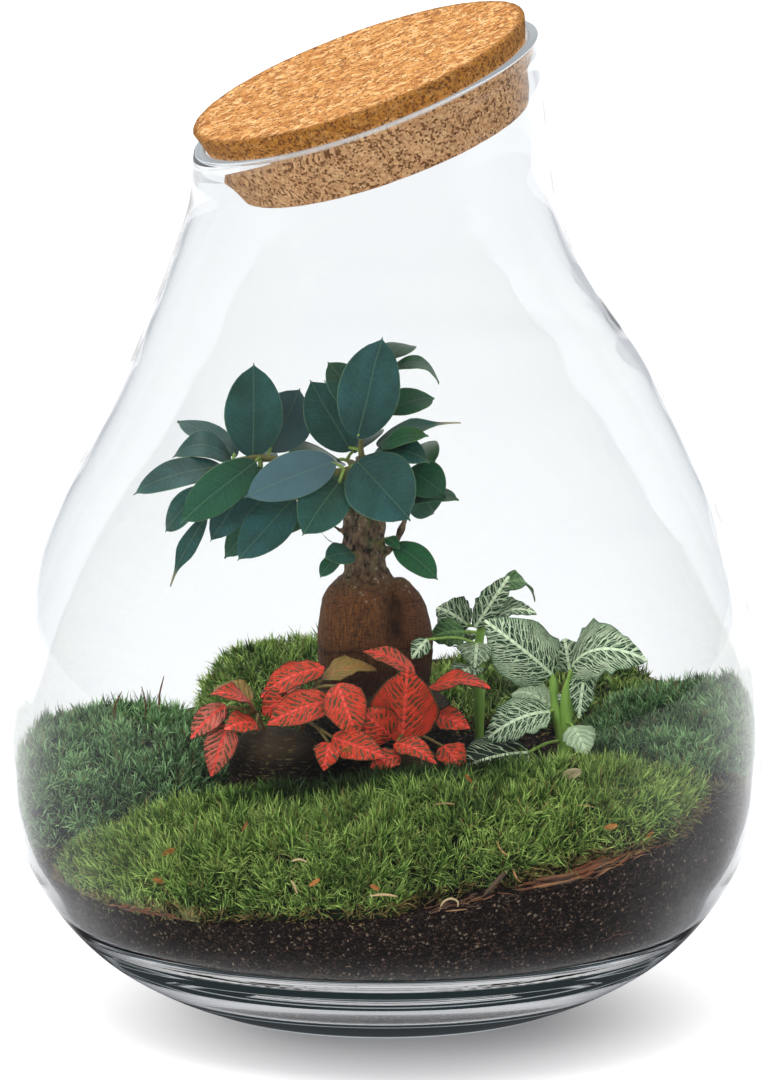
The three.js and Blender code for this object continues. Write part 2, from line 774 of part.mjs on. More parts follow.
const trunk = ficusTrunk();
const trunkClear = ficusTrunk(GAP);
const balls = [FICUS_BALL, RED_BALLS.left, RED_BALLS.right];
const ballsClear = balls.map((ball) => rootBall(ball, GAP));
const stemHoles = [...Object.values(WHITE_SHOOTS), ...Object.values(RED_SHOOTS)].flatMap(
  ({ stems }) =>
    stems.map(({ points: [foot, ...rest], radius }) =>
      stem(
        [foot.clone().setZ(foot.z - 1), ...rest],
        radius + GAP,
        tipRadius(radius) + GAP,
      ),
    ),
);

const planting = new THREE.Group();
planting.rotation.z = rad(PLANTING_TURN);

const soil = cut(groundBlock(0).intersect(room), [...ballsClear, ...stemHoles]);
planting.add(mesh("soil", largestPiece(soil), 0x2b1a12, 0.95));

const ficusBall = cut(rootBall(FICUS_BALL), [trunkClear]);
planting.add(mesh("ficus_root_ball", largestPiece(ficusBall), 0x1d120d, 0.95));
for (const [side, ball] of Object.entries(RED_BALLS)) {
  const plug = cut(rootBall(ball), stemHoles);
  planting.add(mesh(`red_fittonia_root_ball_${side}`, largestPiece(plug), 0x1d120d, 0.95));
}

const laid = [];
for (const [place, shape] of Object.entries(CUSHIONS)) {
  const body = cut(cushion(shape).intersect(room), [
    overGround,
    ...ballsClear,
    ...stemHoles,
    trunkClear,
    ...laid,
  ]);
  laid.push(cushion(shape, GAP));
  planting.add(mesh(`moss_${place}`, largestPiece(body), 0x3f6b1d, 0.9));
}

const bark = cut(barkStrip().intersect(room), [overGround, laid[0]]);
planting.add(mesh("bark_strip", largestPiece(bark), 0x6b3f22, 0.85));

planting.add(mesh("ficus_trunk", trunk, 0x5a3a26, 0.85));
for (const [place, shoot] of Object.entries(FICUS_SHOOTS)) {
  const body = largestPiece(cut(leafyStem(shoot), [trunkClear]));
  planting.add(mesh(`ficus_shoot_${place}`, body, 0x23402f, 0.4));
}
for (const [place, shoot] of Object.entries(RED_SHOOTS)) {
  planting.add(mesh(`red_fittonia_${place}`, leafyStem(shoot), 0xd0402f, 0.55));
}
for (const [place, shoot] of Object.entries(WHITE_SHOOTS)) {
  planting.add(mesh(`white_fittonia_${place}`, leafyStem(shoot), 0x7fa37a, 0.55));
}

const terrarium = new THREE.Group();
const glass = mesh("jar", jar(), 0xdfe8e6, 0.05);
glass.material.transparent = true;
glass.material.opacity = 0.25;
terrarium.add(glass, mesh("cork_lid", corkLid(), 0xc98a4b, 0.9), planting);

export default terrarium;
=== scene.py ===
"""Glass plant terrarium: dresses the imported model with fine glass, cork, soil, moss and plants."""

import itertools
import math

import bpy
import numpy as np
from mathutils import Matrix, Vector


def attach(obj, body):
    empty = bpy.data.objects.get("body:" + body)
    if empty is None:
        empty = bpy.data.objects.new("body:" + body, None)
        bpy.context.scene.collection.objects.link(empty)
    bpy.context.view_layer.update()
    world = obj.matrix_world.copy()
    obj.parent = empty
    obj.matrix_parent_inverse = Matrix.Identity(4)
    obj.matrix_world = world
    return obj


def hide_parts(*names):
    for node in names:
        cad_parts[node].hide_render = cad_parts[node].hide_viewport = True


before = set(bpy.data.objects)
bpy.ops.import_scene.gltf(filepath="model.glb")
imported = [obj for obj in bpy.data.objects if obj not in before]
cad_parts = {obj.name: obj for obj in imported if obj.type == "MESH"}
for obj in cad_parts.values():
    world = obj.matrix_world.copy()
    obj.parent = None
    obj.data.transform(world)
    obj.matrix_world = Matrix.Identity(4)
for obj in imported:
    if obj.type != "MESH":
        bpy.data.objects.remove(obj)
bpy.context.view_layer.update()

bl_info = {
    "name": "Glass Plant Terrarium",
    "version": (1, 0, 0),
    "blender": (4, 5, 0),
    "location": "3D View > Sidebar > Terrarium",
    "description": "Builds a planted glass jar with a cork stopper, piece by piece",
    "category": "Add Mesh",
}

MM = 0.001
PLANTING_TURN = math.radians(-20)  # from the jar's frame to the planting's
TO_BACK = (-math.sin(PLANTING_TURN), math.cos(PLANTING_TURN), 0)  # the way that the viewer looks
GAP = 0.5  # clearance of the soil and moss from the glass, mm
BED_INSET = 3.4  # clearance of the moss's dark bed, so that blades lie against the glass before it, mm
BED_DEPTH = 5.5  # how far that bed lies below the top of its cushion, mm
SOFT_GAP = 0.8  # clearance of the blades and scales, mm
THREAD_GAP = 0.55  # clearance of the fine roots, mm

# Jar, in millimetres: middle of each round section, its height and its radius
OUTSIDE = [
    (0, 0, 74), (0, 0.4, 77.5), (0, 1.5, 80), (0, 8, 95), (0, 20, 114), (0, 36, 129.5), (0, 56, 141.5),
    (0, 78, 148), (0, 102, 150), (0, 127, 149), (0, 152, 145), (0, 175, 138), (1, 195, 130),
    (2.3, 232, 111), (1, 256, 99), (-5.5, 283, 83.8), (-7.8, 305, 75.5), (-6.9, 330, 71.3),
    (-8, 357.5, 70.3),
]
INSIDE_FLOOR = [
    (0, 13, 0.5), (0, 13, 50), (0, 13.2, 84), (0, 14.6, 91), (0, 20, 100), (0, 25, 107.5), (0, 27, 111.5),
    (0, 29, 116), (0, 31.6, 119), (0, 33.6, 121.5), (0, 35.4, 124.5), (0, 38.2, 127.5),
]
WALL = 3.0
WALL_STARTS = 50
MOUTH = (-8, 359.5)
MOUTH_TILT = 21
NECK_START = 256
LEAN_GROWTH = 1.4
LIP_OUTSIDE = 70.6
LIP_BORE = 66.1
LIP_HEIGHT = 1.5
CORK = {"top": 68.2, "bottom": 58.9, "above": 8, "below": 24.5, "bevel": 1.0}

# Ground and planting, in the planting's millimetres: right, back, up
SOIL_LEVEL = 82
SOIL_RISE = (0.115, 0.13)
HEAPS = [(70, -18), (38, 20)]
HEAP_HEIGHT = 9
HEAP_SPREAD = 16
ROOT_BALLS = {
    "ficus_root_ball": (-2, 2, 31, 56, 121, 11),
    "red_fittonia_root_ball_left": (-42, -38, 19, 52, 112, 13),
    "red_fittonia_root_ball_right": (9, -46, 16.5, 52, 106, 17),
}
PEAT_PROFILE = [  # side of a root ball: shares of its radius and of its height
    (0, 0, 0), (0.7, 0, 0), (0.82, 0.04, 0), (0.9, 0.35, 0), (1, 0.72, 0), (0.93, 0.9, 0), (0.7, 1, 0),
    (0.3, 1.03, 0), (0, 1.03, 0),
]
CUSHIONS = {
    "front": {
        "middle": (0, -88), "length": 150, "front": 60, "behind": 38, "height": 30, "reach": 141, "bare": 9,
        "notches": [(-62, 6, 9), (14, 5, 4), (-18, 4, 3)],
    },
    "left": {
        "middle": (-125, 18), "length": 67, "front": 56, "behind": 62, "height": 30, "reach": 190, "bare": 0,
    },
    "right": {
        "middle": (140, 4), "length": 66, "front": 54, "behind": 60, "height": 15, "reach": 190, "bare": 0,
    },
    "back_left": {
        "middle": (-34, 74), "length": 46, "front": 36, "behind": 52, "height": 33, "reach": 146, "bare": 0,
    },
    "back_right": {
        "middle": (58, 86), "length": 54, "front": 44, "behind": 52, "height": 9, "reach": 146, "bare": 0,
    },
}
MOSS_LAYERS = [  # cushion, layer, roots, blades a root, their length, width and depth, green, seed
    ("front", "full", 2900, 12, 1.0, 0.62, 5.2, "bright", 41),
    ("front", "low", 1950, 11, 0.85, 0.56, 4.6, "bright", 51),
    ("left", "full", 1900, 11, 0.78, 0.6, 4.2, "deep", 61),
    ("right", "full", 1650, 11, 0.72, 0.58, 3.8, "deep", 71),
    ("back_left", "full", 1250, 11, 0.8, 0.65, 4.2, "bright", 81),
    ("back_right", "full", 880, 11, 0.8, 0.65, 4.2, "bright", 91),
]
BARK_STRIP = {"start": -66, "end": -49, "inner": 133, "outer": 139.5, "thickness": 3.2}  # degrees, mm
THATCH = [  # from and to in degrees, inner and outer radius, how many, shade
    (-60, -43, 131, 143, 110, 0.3), (-84, -66, 133, 142, 36, 0.22), (-139, -125, 134, 144, 60, 0.28),
]
STRAWS = [  # radius, shade, points
    (0.45, 0.95, [(-34.5, -129.5, 83.4), (-31.5, -130, 84.2), (-28.5, -130.2, 83.2)]),
    (0.45, 0.9, [(-34.4, -135.4, 77.6), (-33.2, -136.2, 75.4), (-32.1, -136.8, 72.8)]),
    (0.5, 0.9, [(-5.4, -141, 73), (0, -141.4, 73.6), (5, -141, 72.8)]),
    (0.4, 0.85, [(18.8, -108, 100), (22.5, -108.4, 100.6), (26.7, -107.8, 100.2)]),
    (0.4, 0.8, [(42, -122.8, 89.5), (43.2, -123.5, 87), (46, -124, 84)]),
    (0.45, 0.8, [(48, -125, 79.5), (49.5, -125.8, 76), (51, -126, 74.5)]),
    (0.4, 0.85, [(71.5, -103, 98.4), (75, -103.7, 98.8), (79, -103.2, 98)]),
    (0.45, 0.95, [
        (20.5, -138.5, 66.5), (22, -136.5, 69.5), (25, -135.5, 70.6), (27.5, -136, 69.4), (27, -137.4, 67),
    ]),
    (1.0, 0.12, [(46.5, -125.5, 79.5), (42, -129, 75.5), (37, -133, 71)]),
    (0.4, 0.3, [(-89, 30, 100), (-90, 29, 112), (-88, 28, 121)]),
    (0.4, 0.35, [(-107, 30, 98), (-108, 29, 108), (-105, 28, 115)]),
    (0.35, 0.25, [(-96, 30, 100), (-95.5, 29, 110), (-97, 28, 117)]),
]
SCALES = [  # right, back, up, length, width, turn in degrees, shade
    (-80.9, -102.6, 80.6, 5, 2.4, 20, 0.7), (-84.4, -110.4, 71.4, 4.4, 2.2, -15, 0.65),
    (-25.8, -136.6, 77, 4.6, 2.2, 30, 0.72), (-3.4, -140, 76, 4, 2, -25, 0.6),
    (85.2, -106, 91, 5, 2.4, 10, 0.72), (99.6, -98.6, 85.8, 4.4, 2.2, 40, 0.66),
    (70.9, -89.2, 107.6, 8, 4.6, 12, 1.0), (-52, -118, 94, 4.4, 2, 60, 0.55),
    (32, -99, 108, 4, 2, -50, 0.62), (-14, -84, 116, 4.2, 2, 15, 0.58),
]
TRUNK_LOBES = {
    "left": [(-9, -2, 112, 13.5), (-10, -2, 124, 15.2), (-10, -2, 138, 16), (-10, -2, 152, 15.3),
             (-9.6, -2, 160, 14), (-8.5, -1, 167, 8)],
    "right": [(7.5, 2, 112, 9.5), (7.5, 2, 124, 10.8), (8, 2, 140, 11), (6.5, 2, 153, 10),
              (4.5, 1, 160, 7.5), (3, 1, 165, 5)],
    "neck": [(-4.5, 0, 150, 12), (-6.5, 0, 166, 10), (-7.6, 0, 172, 8.4), (-7.6, 0, 180, 8.2),
             (-8, 0, 190, 8.6), (-8, 0, 199, 8.2), (-7.5, 0, 208, 6.2), (-8, 0, 215, 3.4)],
}
CLEFT = {"right": 4.2, "width": 2.6, "low": 144, "high": 160}
WAIST = 139  # height of the groove round the swollen root, sunk and painted with shade
TRUNK_VOXEL = 0.0008  # how finely its lobes are merged, m
TRUNK_STUBS = [  # points, then the radius at the foot and at the end
    ([(-10, -3, 177), (-14, -3, 179), (-20, -3.5, 181), (-25, -4, 185.5)], 1.5, 0.9),
    ([(-10, -3, 182), (-13, -3, 183), (-17.5, -4, 186), (-22.5, -5, 190.5)], 1.6, 1.0),
    ([(-8, -4, 186), (-12, -5, 189), (-16, -6, 194)], 2.0, 1.3),
    ([(-2, -1, 175), (1, -1, 176), (3, -1.5, 178.5), (6, -1, 184), (8, 0, 189.5), (10, 1.5, 194)],
     2.0, 1.1),
]

# Leaves
DRY_TONE = 1.5  # a leaf above this tone has a dry tip
UNDERSIDE = 100.0  # added to the third flat coordinate on the underside
STALKED_FROM = 3.2  # a leaf further than this from its stem stands on a stalk, mm

# Leafy stems. A stem is its radius and points. A leaf is: base right, back, up; tip right, back,
# up; width; lean; arch; tone. Lean is 0 where it faces up and 1 where it faces the front.
# A ficus leaf of tone 2 has a dry tip, and one of tone -0.5 a painted bluish sheen.
FICUS_SPRAYS = {
    "left": {
        "stems": [(1.3, [(-9, 0, 204), (-25, 0, 211), (-39, 1, 213), (-51, 1, 214), (-62, 3, 211),
                         (-69, 6, 202), (-70, 8, 187)])],
        "leaves": [
            (-51, 2, 216, -51, 8, 250, 23, 1, -2, 0.1), (-45, 10, 215, -33, 22, 238, 22, 0.8, -2, -0.35),
            (-58, 12, 213, -82, 26, 225, 16, 0.15, 1, 0), (-60, 6, 212, -83, 5, 214, 15, 0.4, 7, 0),
            (-63, -4, 211, -98, -8, 201, 15, 0.5, 4, 0), (-50, -8, 214, -79, -20, 192, 17, 0.8, 2, 0.7),
            (-70, 8, 201, -87, 16, 182, 12, 0.6, 2, 0.2), (-48, -4, 211, -68, -12, 183, 15, 0.8, 2, 0),
            (-70, 8, 187, -85, 14, 160, 8, 0.6, 3, 2.1), (-48, 10, 211, -59, 42, 214, 20, -0.6, 3, 0.3),
            (-48, 12, 207, -53, 40, 186, 20, -0.7, 3, 0.3),
        ],
    },
    "low_left": {
        "stems": [(1.2, [(-9, -3, 196), (-24, -6, 200), (-38, -6, 198)])],
        "leaves": [
            (-41, -2, 198, -63, 0, 174, 14, 0.6, 2, 0.7), (-35, -8, 197, -57, -20, 177, 18, 0.7, 2, 0),
            (-22, 2, 191, -39, -2, 184, 12, 0.2, 2, 0.9),
        ],
    },
    "top": {
        "stems": [(1.3, [(-8, 1, 209), (-9, 2, 220), (-5, 5, 232), (1, 7, 246)])],
        "leaves": [
            (-10.5, -4, 222, -0.5, -2, 262, 24, 1, -2, 0), (-13, 4, 216, -29, 10, 243, 21, 0.9, -2, 0.15),
            (-9, 9, 232, -22, 15, 249, 14, 0.6, 2, 0.35), (2, 8, 251, 11, 26, 254, 12, 0.3, 2, 0.6),
            (3, 7, 247, 22, 12, 242.5, 9, 0.3, 5, 0.8), (0, 7, 231, 20, 18, 236, 13, 0.5, 2, 0.8),
            (-13, 10, 224, -22, 42, 236, 21, -0.6, 3, 0.5), (-5, 10, 224, 5, 42, 232, 21, -0.6, 3, 0.5),
        ],
    },
    "right": {
        "stems": [(1.3, [(-6, 0, 205), (1, 1, 214), (8, 2, 212), (11, 3, 202), (10, 3, 194)])],
        "leaves": [
            (-3, 0, 219, 29.5, -8, 230, 15, 0.3, 2, 2.3), (-1, -6, 219, 17, -12, 225, 11, 0.4, 2, 0.9),
            (-4, -2, 216, 17.5, -12, 214.5, 16, 0.45, 4, 0.15), (11, 2, 209, 24, -6, 200, 16, 0.7, 2, 0.8),
            (11, 1, 193, 29, -8, 199, 13, 0.3, 2, 0.7), (11, 6, 204, 20, 17, 188, 16, 0.8, 2, 0.4),
            (5, 10, 213, 20, 44, 205, 20, -0.6, 3, 0.5),
        ],
    },
    "front": {
        "stems": [(1.2, [(-8, -2, 205), (-12, -9, 211), (-16, -13, 212)])],
        "leaves": [
            (-10.5, -13, 215, 10, -32, 195, 28, 0.8, 2, 0.05),
            (-19, -13, 215, -54, -27, 203, 19, 0.7, 2, -0.5),
            (-17, -15, 207.5, -31.5, -30, 189, 20, 0.8, 2, 0.25),
        ],
    },
    "back": {
        "stems": [(1.3, [(-7, 2, 204), (-10, 10, 209), (-15, 18, 210)])],
        "leaves": [
            (-18, 18, 210, -38, 46, 203, 20, -0.6, 3, 0.4), (-13, 18, 207, -14, 46, 188, 20, -0.6, 3, 0.5),
            (-12, 20, 213, -6, 48, 214, 20, -0.5, 3, 0.4),
        ],
    },
    "sprout_left": {
        "stems": [(0.9, [(-9, -5, 176), (-14, -11, 178), (-18, -13, 177)])],
        "leaves": [
            (-12, -14, 178.5, -23, -25, 179, 11, 0.6, 1, 0.4),
            (-18, -13, 176, -25, -18, 169.8, 7, 0.5, 1, 0.6),
        ],
    },
    "sprout_right": {
        "stems": [(0.9, [(-4, -4, 180), (1, -9, 184)])],
        "leaves": [
            (4, -11, 182, 21, -18, 169, 12, 0.6, 2, 0.9), (0, -11, 186, 6, -15, 181, 5, 0.6, 1, 0.8),
        ],
    },
}
RED_SPRAYS = {
    "left": {
        "stems": [(1.3, [(-46, -38, 104), (-47, -39, 115), (-50, -41, 122)])],
        "bark_to": 117,
        "leaves": [
            (-49, -42, 123, -66, -50, 131, 14, 0.3, 3, 0.5),
            (-61, -42, 124, -74.5, -50, 113, 11, 0.6, 3, 0.8),
            (-60, -46, 118, -66.5, -57, 99.5, 13, 0.7, 3, 0.75),
            (-49, -48, 118, -61, -60, 119, 12, 0.5, 2, 0.4),
            (-52, -36, 124, -66, -24, 128, 14, 0.2, 2, 1.0),
        ],
    },
    "middle": {
        "stems": [(1.3, [(-34, -36, 104), (-31, -37, 118), (-27, -37, 130)])],
        "bark_to": 118,
        "leaves": [
            (-20, -44, 126.5, -45, -51, 119, 15, 0.6, 3, 0.5),
            (-23, -34, 137, -48, -40, 127.5, 13, 0.45, 3, 0.3),
            (-24, -33, 132, -3, -29, 136, 13, 0.3, 3, 1.0),
            (-18, -45, 133, -10.5, -59, 115.5, 17, 0.8, 2, 0.1),
            (-20, -53, 114, 0, -70, 110, 13, 0.8, 2, 0), (-21, -54, 112, -23, -64, 103.5, 11, 0.8, 2, 0),
            (-37, -41, 128, -47, -44, 121, 12, 0.8, 2, 0.5),
            (-34, -30, 125, -48, -16, 124, 14, 0.1, 2, 0.6),
        ],
    },
    "right": {
        "stems": [(1.4, [(9, -44, 100), (9, -41, 112), (11, -35, 124), (13, -32, 130)])],
        "bark_to": 112,
        "leaves": [
            (7, -48, 111, 9, -53, 140, 27, 1, -2, 0), (3, -48, 113, -9, -55, 125, 16, 0.8, 2, 0.1),
            (4, -56, 112, 20, -67, 107, 10, 0.5, 3, 0.3), (17, -32, 128, 41, -38, 131, 12, 0.25, 3, 0.2),
            (20, -36, 119, 33, -44, 116, 10, 0.7, 2, 0.3), (12, -31, 133, -8, -27, 143, 10, 0.4, 3, 0.6),
            (23, -46, 109, 30, -57, 101, 12, 0.6, 2, 0.2), (6, -60, 108, -5, -66, 105, 10, 0.6, 2, 0.5),
        ],
    },
}
WHITE_SPRAYS = {
    "right": {
        "stems": [(3.4, [(70, -18, 78), (71, -18, 104), (72, -15, 129)]),
                  (2.2, [(70, -18, 104), (67, -16, 118), (66, -15, 131)])],
        "leaves": [
            (66, -16, 131, 40, -24, 154, 26, 0.8, 3, 0), (73.5, -14, 133, 102, -21, 138, 24, 0.6, 13, 0),
            (73, -9, 130, 71, -4, 143, 16, 0.8, 0, 0.1), (65, -20, 117, 38, -30, 107, 17, 0.6, 7, 0),
            (57, -27, 102, 26, -44, 98, 20, 0.5, 3, 0.25), (74, -23, 112, 79, -33, 103, 13, 0.7, 1, 1),
            (79, -15, 134, 76, -22, 115, 10, 0.5, 2, 0), (67, -10, 116, 50, -2, 121, 14, 0.4, 3, 0.8),
            (78, -6, 129, 99, 1, 132, 11, -0.1, 3, 1), (71, -8, 118, 68, 12, 112, 15, -0.2, 4, 0),
        ],
    },
    "back": {
        "stems": [(2.4, [(38, 20, 80), (38, 21, 110), (38, 27, 136), (41, 31, 150)])],
        "leaves": [
            (32, 25, 140, 18, 18, 139, 13, 0.7, 3, 0.5), (34, 32, 141, 21, 36, 148, 16, 0.6, 2, 0),
            (36, 24, 142, 50, 31, 161, 11, 0.8, 2, 0), (44, 31, 155, 61, 39, 151, 10, 0.3, 6, 0.5),
            (17, -10, 144, 11, -15, 137, 8, 0.7, 1, 0), (43, 30, 143, 60, 24, 149, 13, 0.3, 3, 0.1),
            (37, 20, 136, 36, 7, 129, 17, 0.6, 3, 0.7), (37, 16, 126, 29, 2, 124, 14, 0.3, 3, 0),
            (42, 26, 132, 56, 36, 128, 14, 0.1, 3, 0), (38, 34, 136, 34, 50, 132, 14, -0.4, 3, 0),
        ],
    },
}
FICUS_BLADE = {
    "rows": 18, "columns": 8, "fold": 0.1, "wave": 0.25, "teeth": 0, "fullest": 0.95, "blunt": 0.58,
    "oval": 0.95, "point": 0, "curl": 0.05,
}
RED_BLADE = {
    "rows": 18, "columns": 10, "fold": 0.13, "wave": 0.9, "teeth": 0.035, "fullest": 0.8, "blunt": 0.75,
    "oval": 1, "point": 0.15, "curl": 0.12,
}
WHITE_BLADE = {
    "rows": 22, "columns": 12, "fold": 0.08, "wave": 1.2, "teeth": 0.07, "fullest": 0.8, "blunt": 0.75,
    "oval": 1, "point": 0.1, "curl": 0.15,
}

# Stage: metres, degrees and watts, and the lens in millimetres
FLOOR_HALF = 12
FLOOR_LEVEL = -0.0003
LAMPS = [  # name, place, size, power, whether the glass mirrors it
    ("top_light", (-0.25, 0.1, 1.9), 1.1, 26.0, True),
    ("key_light", (-1.5, -1.6, 1.3), 1.3, 22.0, False),
    ("fill_light", (1.7, -1.0, 0.9), 1.3, 8.0, False),
]
LAMP_AIM = 0.14
CAMERA = {"lens": 203.7, "rise": 10.5, "away": 2.4, "aim": 0.1815}
BOUNCES = {"max": 14, "diffuse": 3, "glossy": 10, "transmission": 12, "transparent_max": 8}


def srgb(red, green, blue):
    """A colour picked on screen, from 0 to 255, as the linear colour that shaders take."""
    def linear(value):
        share = value / 255
        return share / 12.92 if share <= 0.04045 else ((share + 0.055) / 1.055) ** 2.4
    return (linear(red), linear(green), linear(blue), 1.0)


# Settings


def colour(name, text, default):
    """A colour setting."""
    return bpy.props.FloatVectorProperty(
        name=name, description=text, subtype="COLOR", size=4, min=0, max=1, default=default
    )


class TerrariumGlass(bpy.types.PropertyGroup):
    """Glass and cork."""

    ior: bpy.props.FloatProperty(name="IOR", description="How strongly the glass bends light", default=1.47)
    tint: colour("Glass tint", "Colour of the glass", (0.985, 0.995, 0.993, 1))
    granule: bpy.props.FloatProperty(
        name="Cork granule", description="Size of one granule of cork", default=0.0024, unit="LENGTH"
    )
    cork: colour("Cork", "Main colour of the cork", srgb(206, 150, 84))


class TerrariumGround(bpy.types.PropertyGroup):
    """Soil and moss."""

    soil: colour("Soil", "Main colour of the soil", srgb(56, 43, 38))
    crumb: bpy.props.FloatProperty(
        name="Soil crumb", description="Size of one crumb of soil", default=0.0009, unit="LENGTH"
    )
    bright_moss: colour("Bright moss", "Tips of the front and back cushions", srgb(164, 188, 98))
    deep_moss: colour("Deep moss", "Tips of the cushions at the sides", srgb(150, 188, 128))
    blade: bpy.props.FloatProperty(
        name="Moss blade", description="Length of a blade of the front cushion",
        default=0.0086, unit="LENGTH",
    )


class TerrariumPlants(bpy.types.PropertyGroup):
    """Plants."""

    ficus: colour("Ficus leaf", "Old leaves of the ficus", srgb(32, 66, 60))
    ficus_fresh: colour("Fresh ficus leaf", "Young leaves of the ficus", srgb(36, 94, 48))
    red_vein: colour("Red vein", "Veins of the red fittonia", srgb(214, 60, 38))
    red_gap: colour("Red leaf", "Between the veins of the red fittonia", srgb(62, 62, 34))
    white_vein: colour("White vein", "Veins of the white fittonia", srgb(216, 234, 196))
    white_gap: colour("White leaf", "Between the veins of the white fittonia", srgb(24, 58, 34))


def settings():
    """The three groups of settings."""
    scene = bpy.context.scene
    return scene.terrarium_glass, scene.terrarium_ground, scene.terrarium_plants


# Numbers


def place(points):
    """Planting millimetres (right, back, up) to the model's metres."""
    points = np.asarray(points, float)
    cos, sin = math.cos(PLANTING_TURN), math.sin(PLANTING_TURN)
    right, back, up = points[..., 0], points[..., 1], points[..., 2]
    return np.stack([cos * right - sin * back, sin * right + cos * back, up], -1) * MM


def planting(points):
    """The model's metres back to planting millimetres."""
    cos, sin = math.cos(PLANTING_TURN), math.sin(PLANTING_TURN)
    x, y, z = points[..., 0] / MM, points[..., 1] / MM, points[..., 2] / MM
    return np.stack([cos * x + sin * y, -sin * x + cos * y, z], -1)


def unit(vectors):
    """Vectors at length 1."""
    return vectors / np.maximum(np.linalg.norm(vectors, axis=-1, keepdims=True), 1e-9)


def smooth_step(low, high, value):
    """0 below low, 1 above high, smooth in between."""
    share = np.clip((value - low) / (high - low), 0, 1)
    return share * share * (3 - 2 * share)


def lattice(cells, seed):
    """A repeatable number from 0 to 1 for each whole-number cell."""
    mixed = cells[..., 0] * 73856093 ^ cells[..., 1] * 19349663 ^ cells[..., 2] * 83492791 ^ seed * 97531
    mixed = (mixed ^ mixed >> 13) * 1274126177 & 0x7FFFFFFF
    return (mixed >> 8 & 0xFFFF) / 65535


def noise(points, size, seed=0):
    """Smooth noise from -1 to 1 with lumps of about a size, one number or one per axis."""
    scaled = points / np.asarray(size, float)
    base = np.floor(scaled).astype(np.int64)
    share = scaled - base
    share = share * share * (3 - 2 * share)
    total = np.zeros(points.shape[:-1])
    for corner in itertools.product((0, 1), repeat=3):
        weight = np.prod(np.where(corner, share, 1 - share), axis=-1)
        total += weight * lattice(base + np.array(corner), seed)
    return total * 2 - 1


def through(points, count):
    """Evenly spaced points on a smooth curve through the given ones."""
    points = np.asarray(points, float)
    padded = np.concatenate([[2 * points[0] - points[1]], points, [2 * points[-1] - points[-2]]])
    fine = []
    for k in range(1, len(padded) - 2):
        p0, p1, p2, p3 = padded[k - 1:k + 3]
        d0, d1, d2 = [math.sqrt(max(1e-9, np.linalg.norm(b - a))) for a, b in ((p0, p1), (p1, p2),
        (p2, p3))]
        start = ((p1 - p0) / d0 - (p2 - p0) / (d0 + d1) + (p2 - p1) / d1) * d1
        end = ((p2 - p1) / d1 - (p3 - p1) / (d1 + d2) + (p3 - p2) / d2) * d1
        t = np.linspace(0, 1, 24, endpoint=False)[:, None]
        fine.append(
            (2 * t**3 - 3 * t**2 + 1) * p1 + (t**3 - 2 * t**2 + t) * start
            + (3 * t**2 - 2 * t**3) * p2 + (t**3 - t**2) * end
        )
    fine = np.concatenate([*fine, points[-1:]])
    gone = np.concatenate([[0], np.cumsum(np.linalg.norm(np.diff(fine, axis=0), axis=1))])
    wanted = np.linspace(0, gone[-1], count)
    return np.stack([np.interp(wanted, gone, fine[:, axis]) for axis in range(points.shape[1])], -1)


# Meshes


def new_piece(name, points, faces, materials, picks=None, data=None):
    """A piece from points in metres and faces of one size, with values kept at its points."""
    points = np.ascontiguousarray(points, np.float32).reshape(-1, 3)
    faces = np.asarray(faces, np.int32)
    mesh = bpy.data.meshes.new(name)
    mesh.vertices.add(len(points))
    mesh.vertices.foreach_set("co", points.ravel())
    mesh.loops.add(faces.size)
    mesh.loops.foreach_set("vertex_index", faces.ravel())
    mesh.polygons.add(len(faces))
    mesh.polygons.foreach_set("loop_start", np.arange(0, faces.size, faces.shape[1], dtype=np.int32))
    for material in materials:
        mesh.materials.append(material)
    if picks is not None:
        mesh.polygons.foreach_set("material_index", np.asarray(picks, np.int32))
    mesh.polygons.foreach_set("use_smooth", np.ones(len(faces), bool))
    for key, values in (data or {}).items():
        values = np.ascontiguousarray(values, np.float32)
        made = mesh.attributes.new(key, "FLOAT_VECTOR", "POINT")
        made.data.foreach_set("vector", values.ravel())
    mesh.update(calc_edges=True)
    mesh.validate()
    piece = bpy.data.objects.new(name, mesh)
    bpy.context.scene.collection.objects.link(piece)
    return piece


def finish(piece, slot, *nodes):
    """Lets a piece ride on the model and stand for nodes, whose parts it hides; the slot is not used."""
    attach(piece, "root")
    if nodes:
        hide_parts(*nodes)
    return piece


def grid_faces(rows, columns, closed=True):
    """Quads over rows of points, each row a closed ring or an open line."""
    k, i = np.meshgrid(np.arange(rows - 1), np.arange(columns if closed else columns - 1), indexing="ij")
    j = (i + 1) % columns
    corners = [k * columns + i, k * columns + j, (k + 1) * columns + j, (k + 1) * columns + i]
    return np.stack(corners, -1).reshape(-1, 4)


def split(quads):
    """Each quad as two triangles."""
    return np.concatenate([quads[:, [0, 1, 2]], quads[:, [0, 2, 3]]])


def tube(path, radii, sides):
    """Points and triangles of a closed round tube along a path."""
    path = np.asarray(path, float)
    along = unit(np.gradient(path, axis=0))
    across = np.zeros_like(path)
    start = np.cross(along[0], (0.31, 0.95, 0.1))
    for k, direction in enumerate(along):
        start = start - direction * (start @ direction)
        across[k] = start = start / np.linalg.norm(start)
    over = np.cross(along, across)
    turn = np.linspace(0, 2 * math.pi, sides, endpoint=False)
    radii = np.broadcast_to(radii, len(path))[:, None, None]
    rings = path[:, None] + radii * (
        across[:, None] * np.cos(turn)[None, :, None] + over[:, None] * np.sin(turn)[None, :, None]
    )
    count = len(path) * sides
    points = np.concatenate([rings.reshape(-1, 3), path[:1], path[-1:]])
    ends = [(count, (i + 1) % sides, i) for i in range(sides)]
    ends += [(count + 1, count - sides + i, count - sides + (i + 1) % sides) for i in range(sides)]
    return points, np.concatenate([split(grid_faces(len(path), sides)), np.array(ends)])


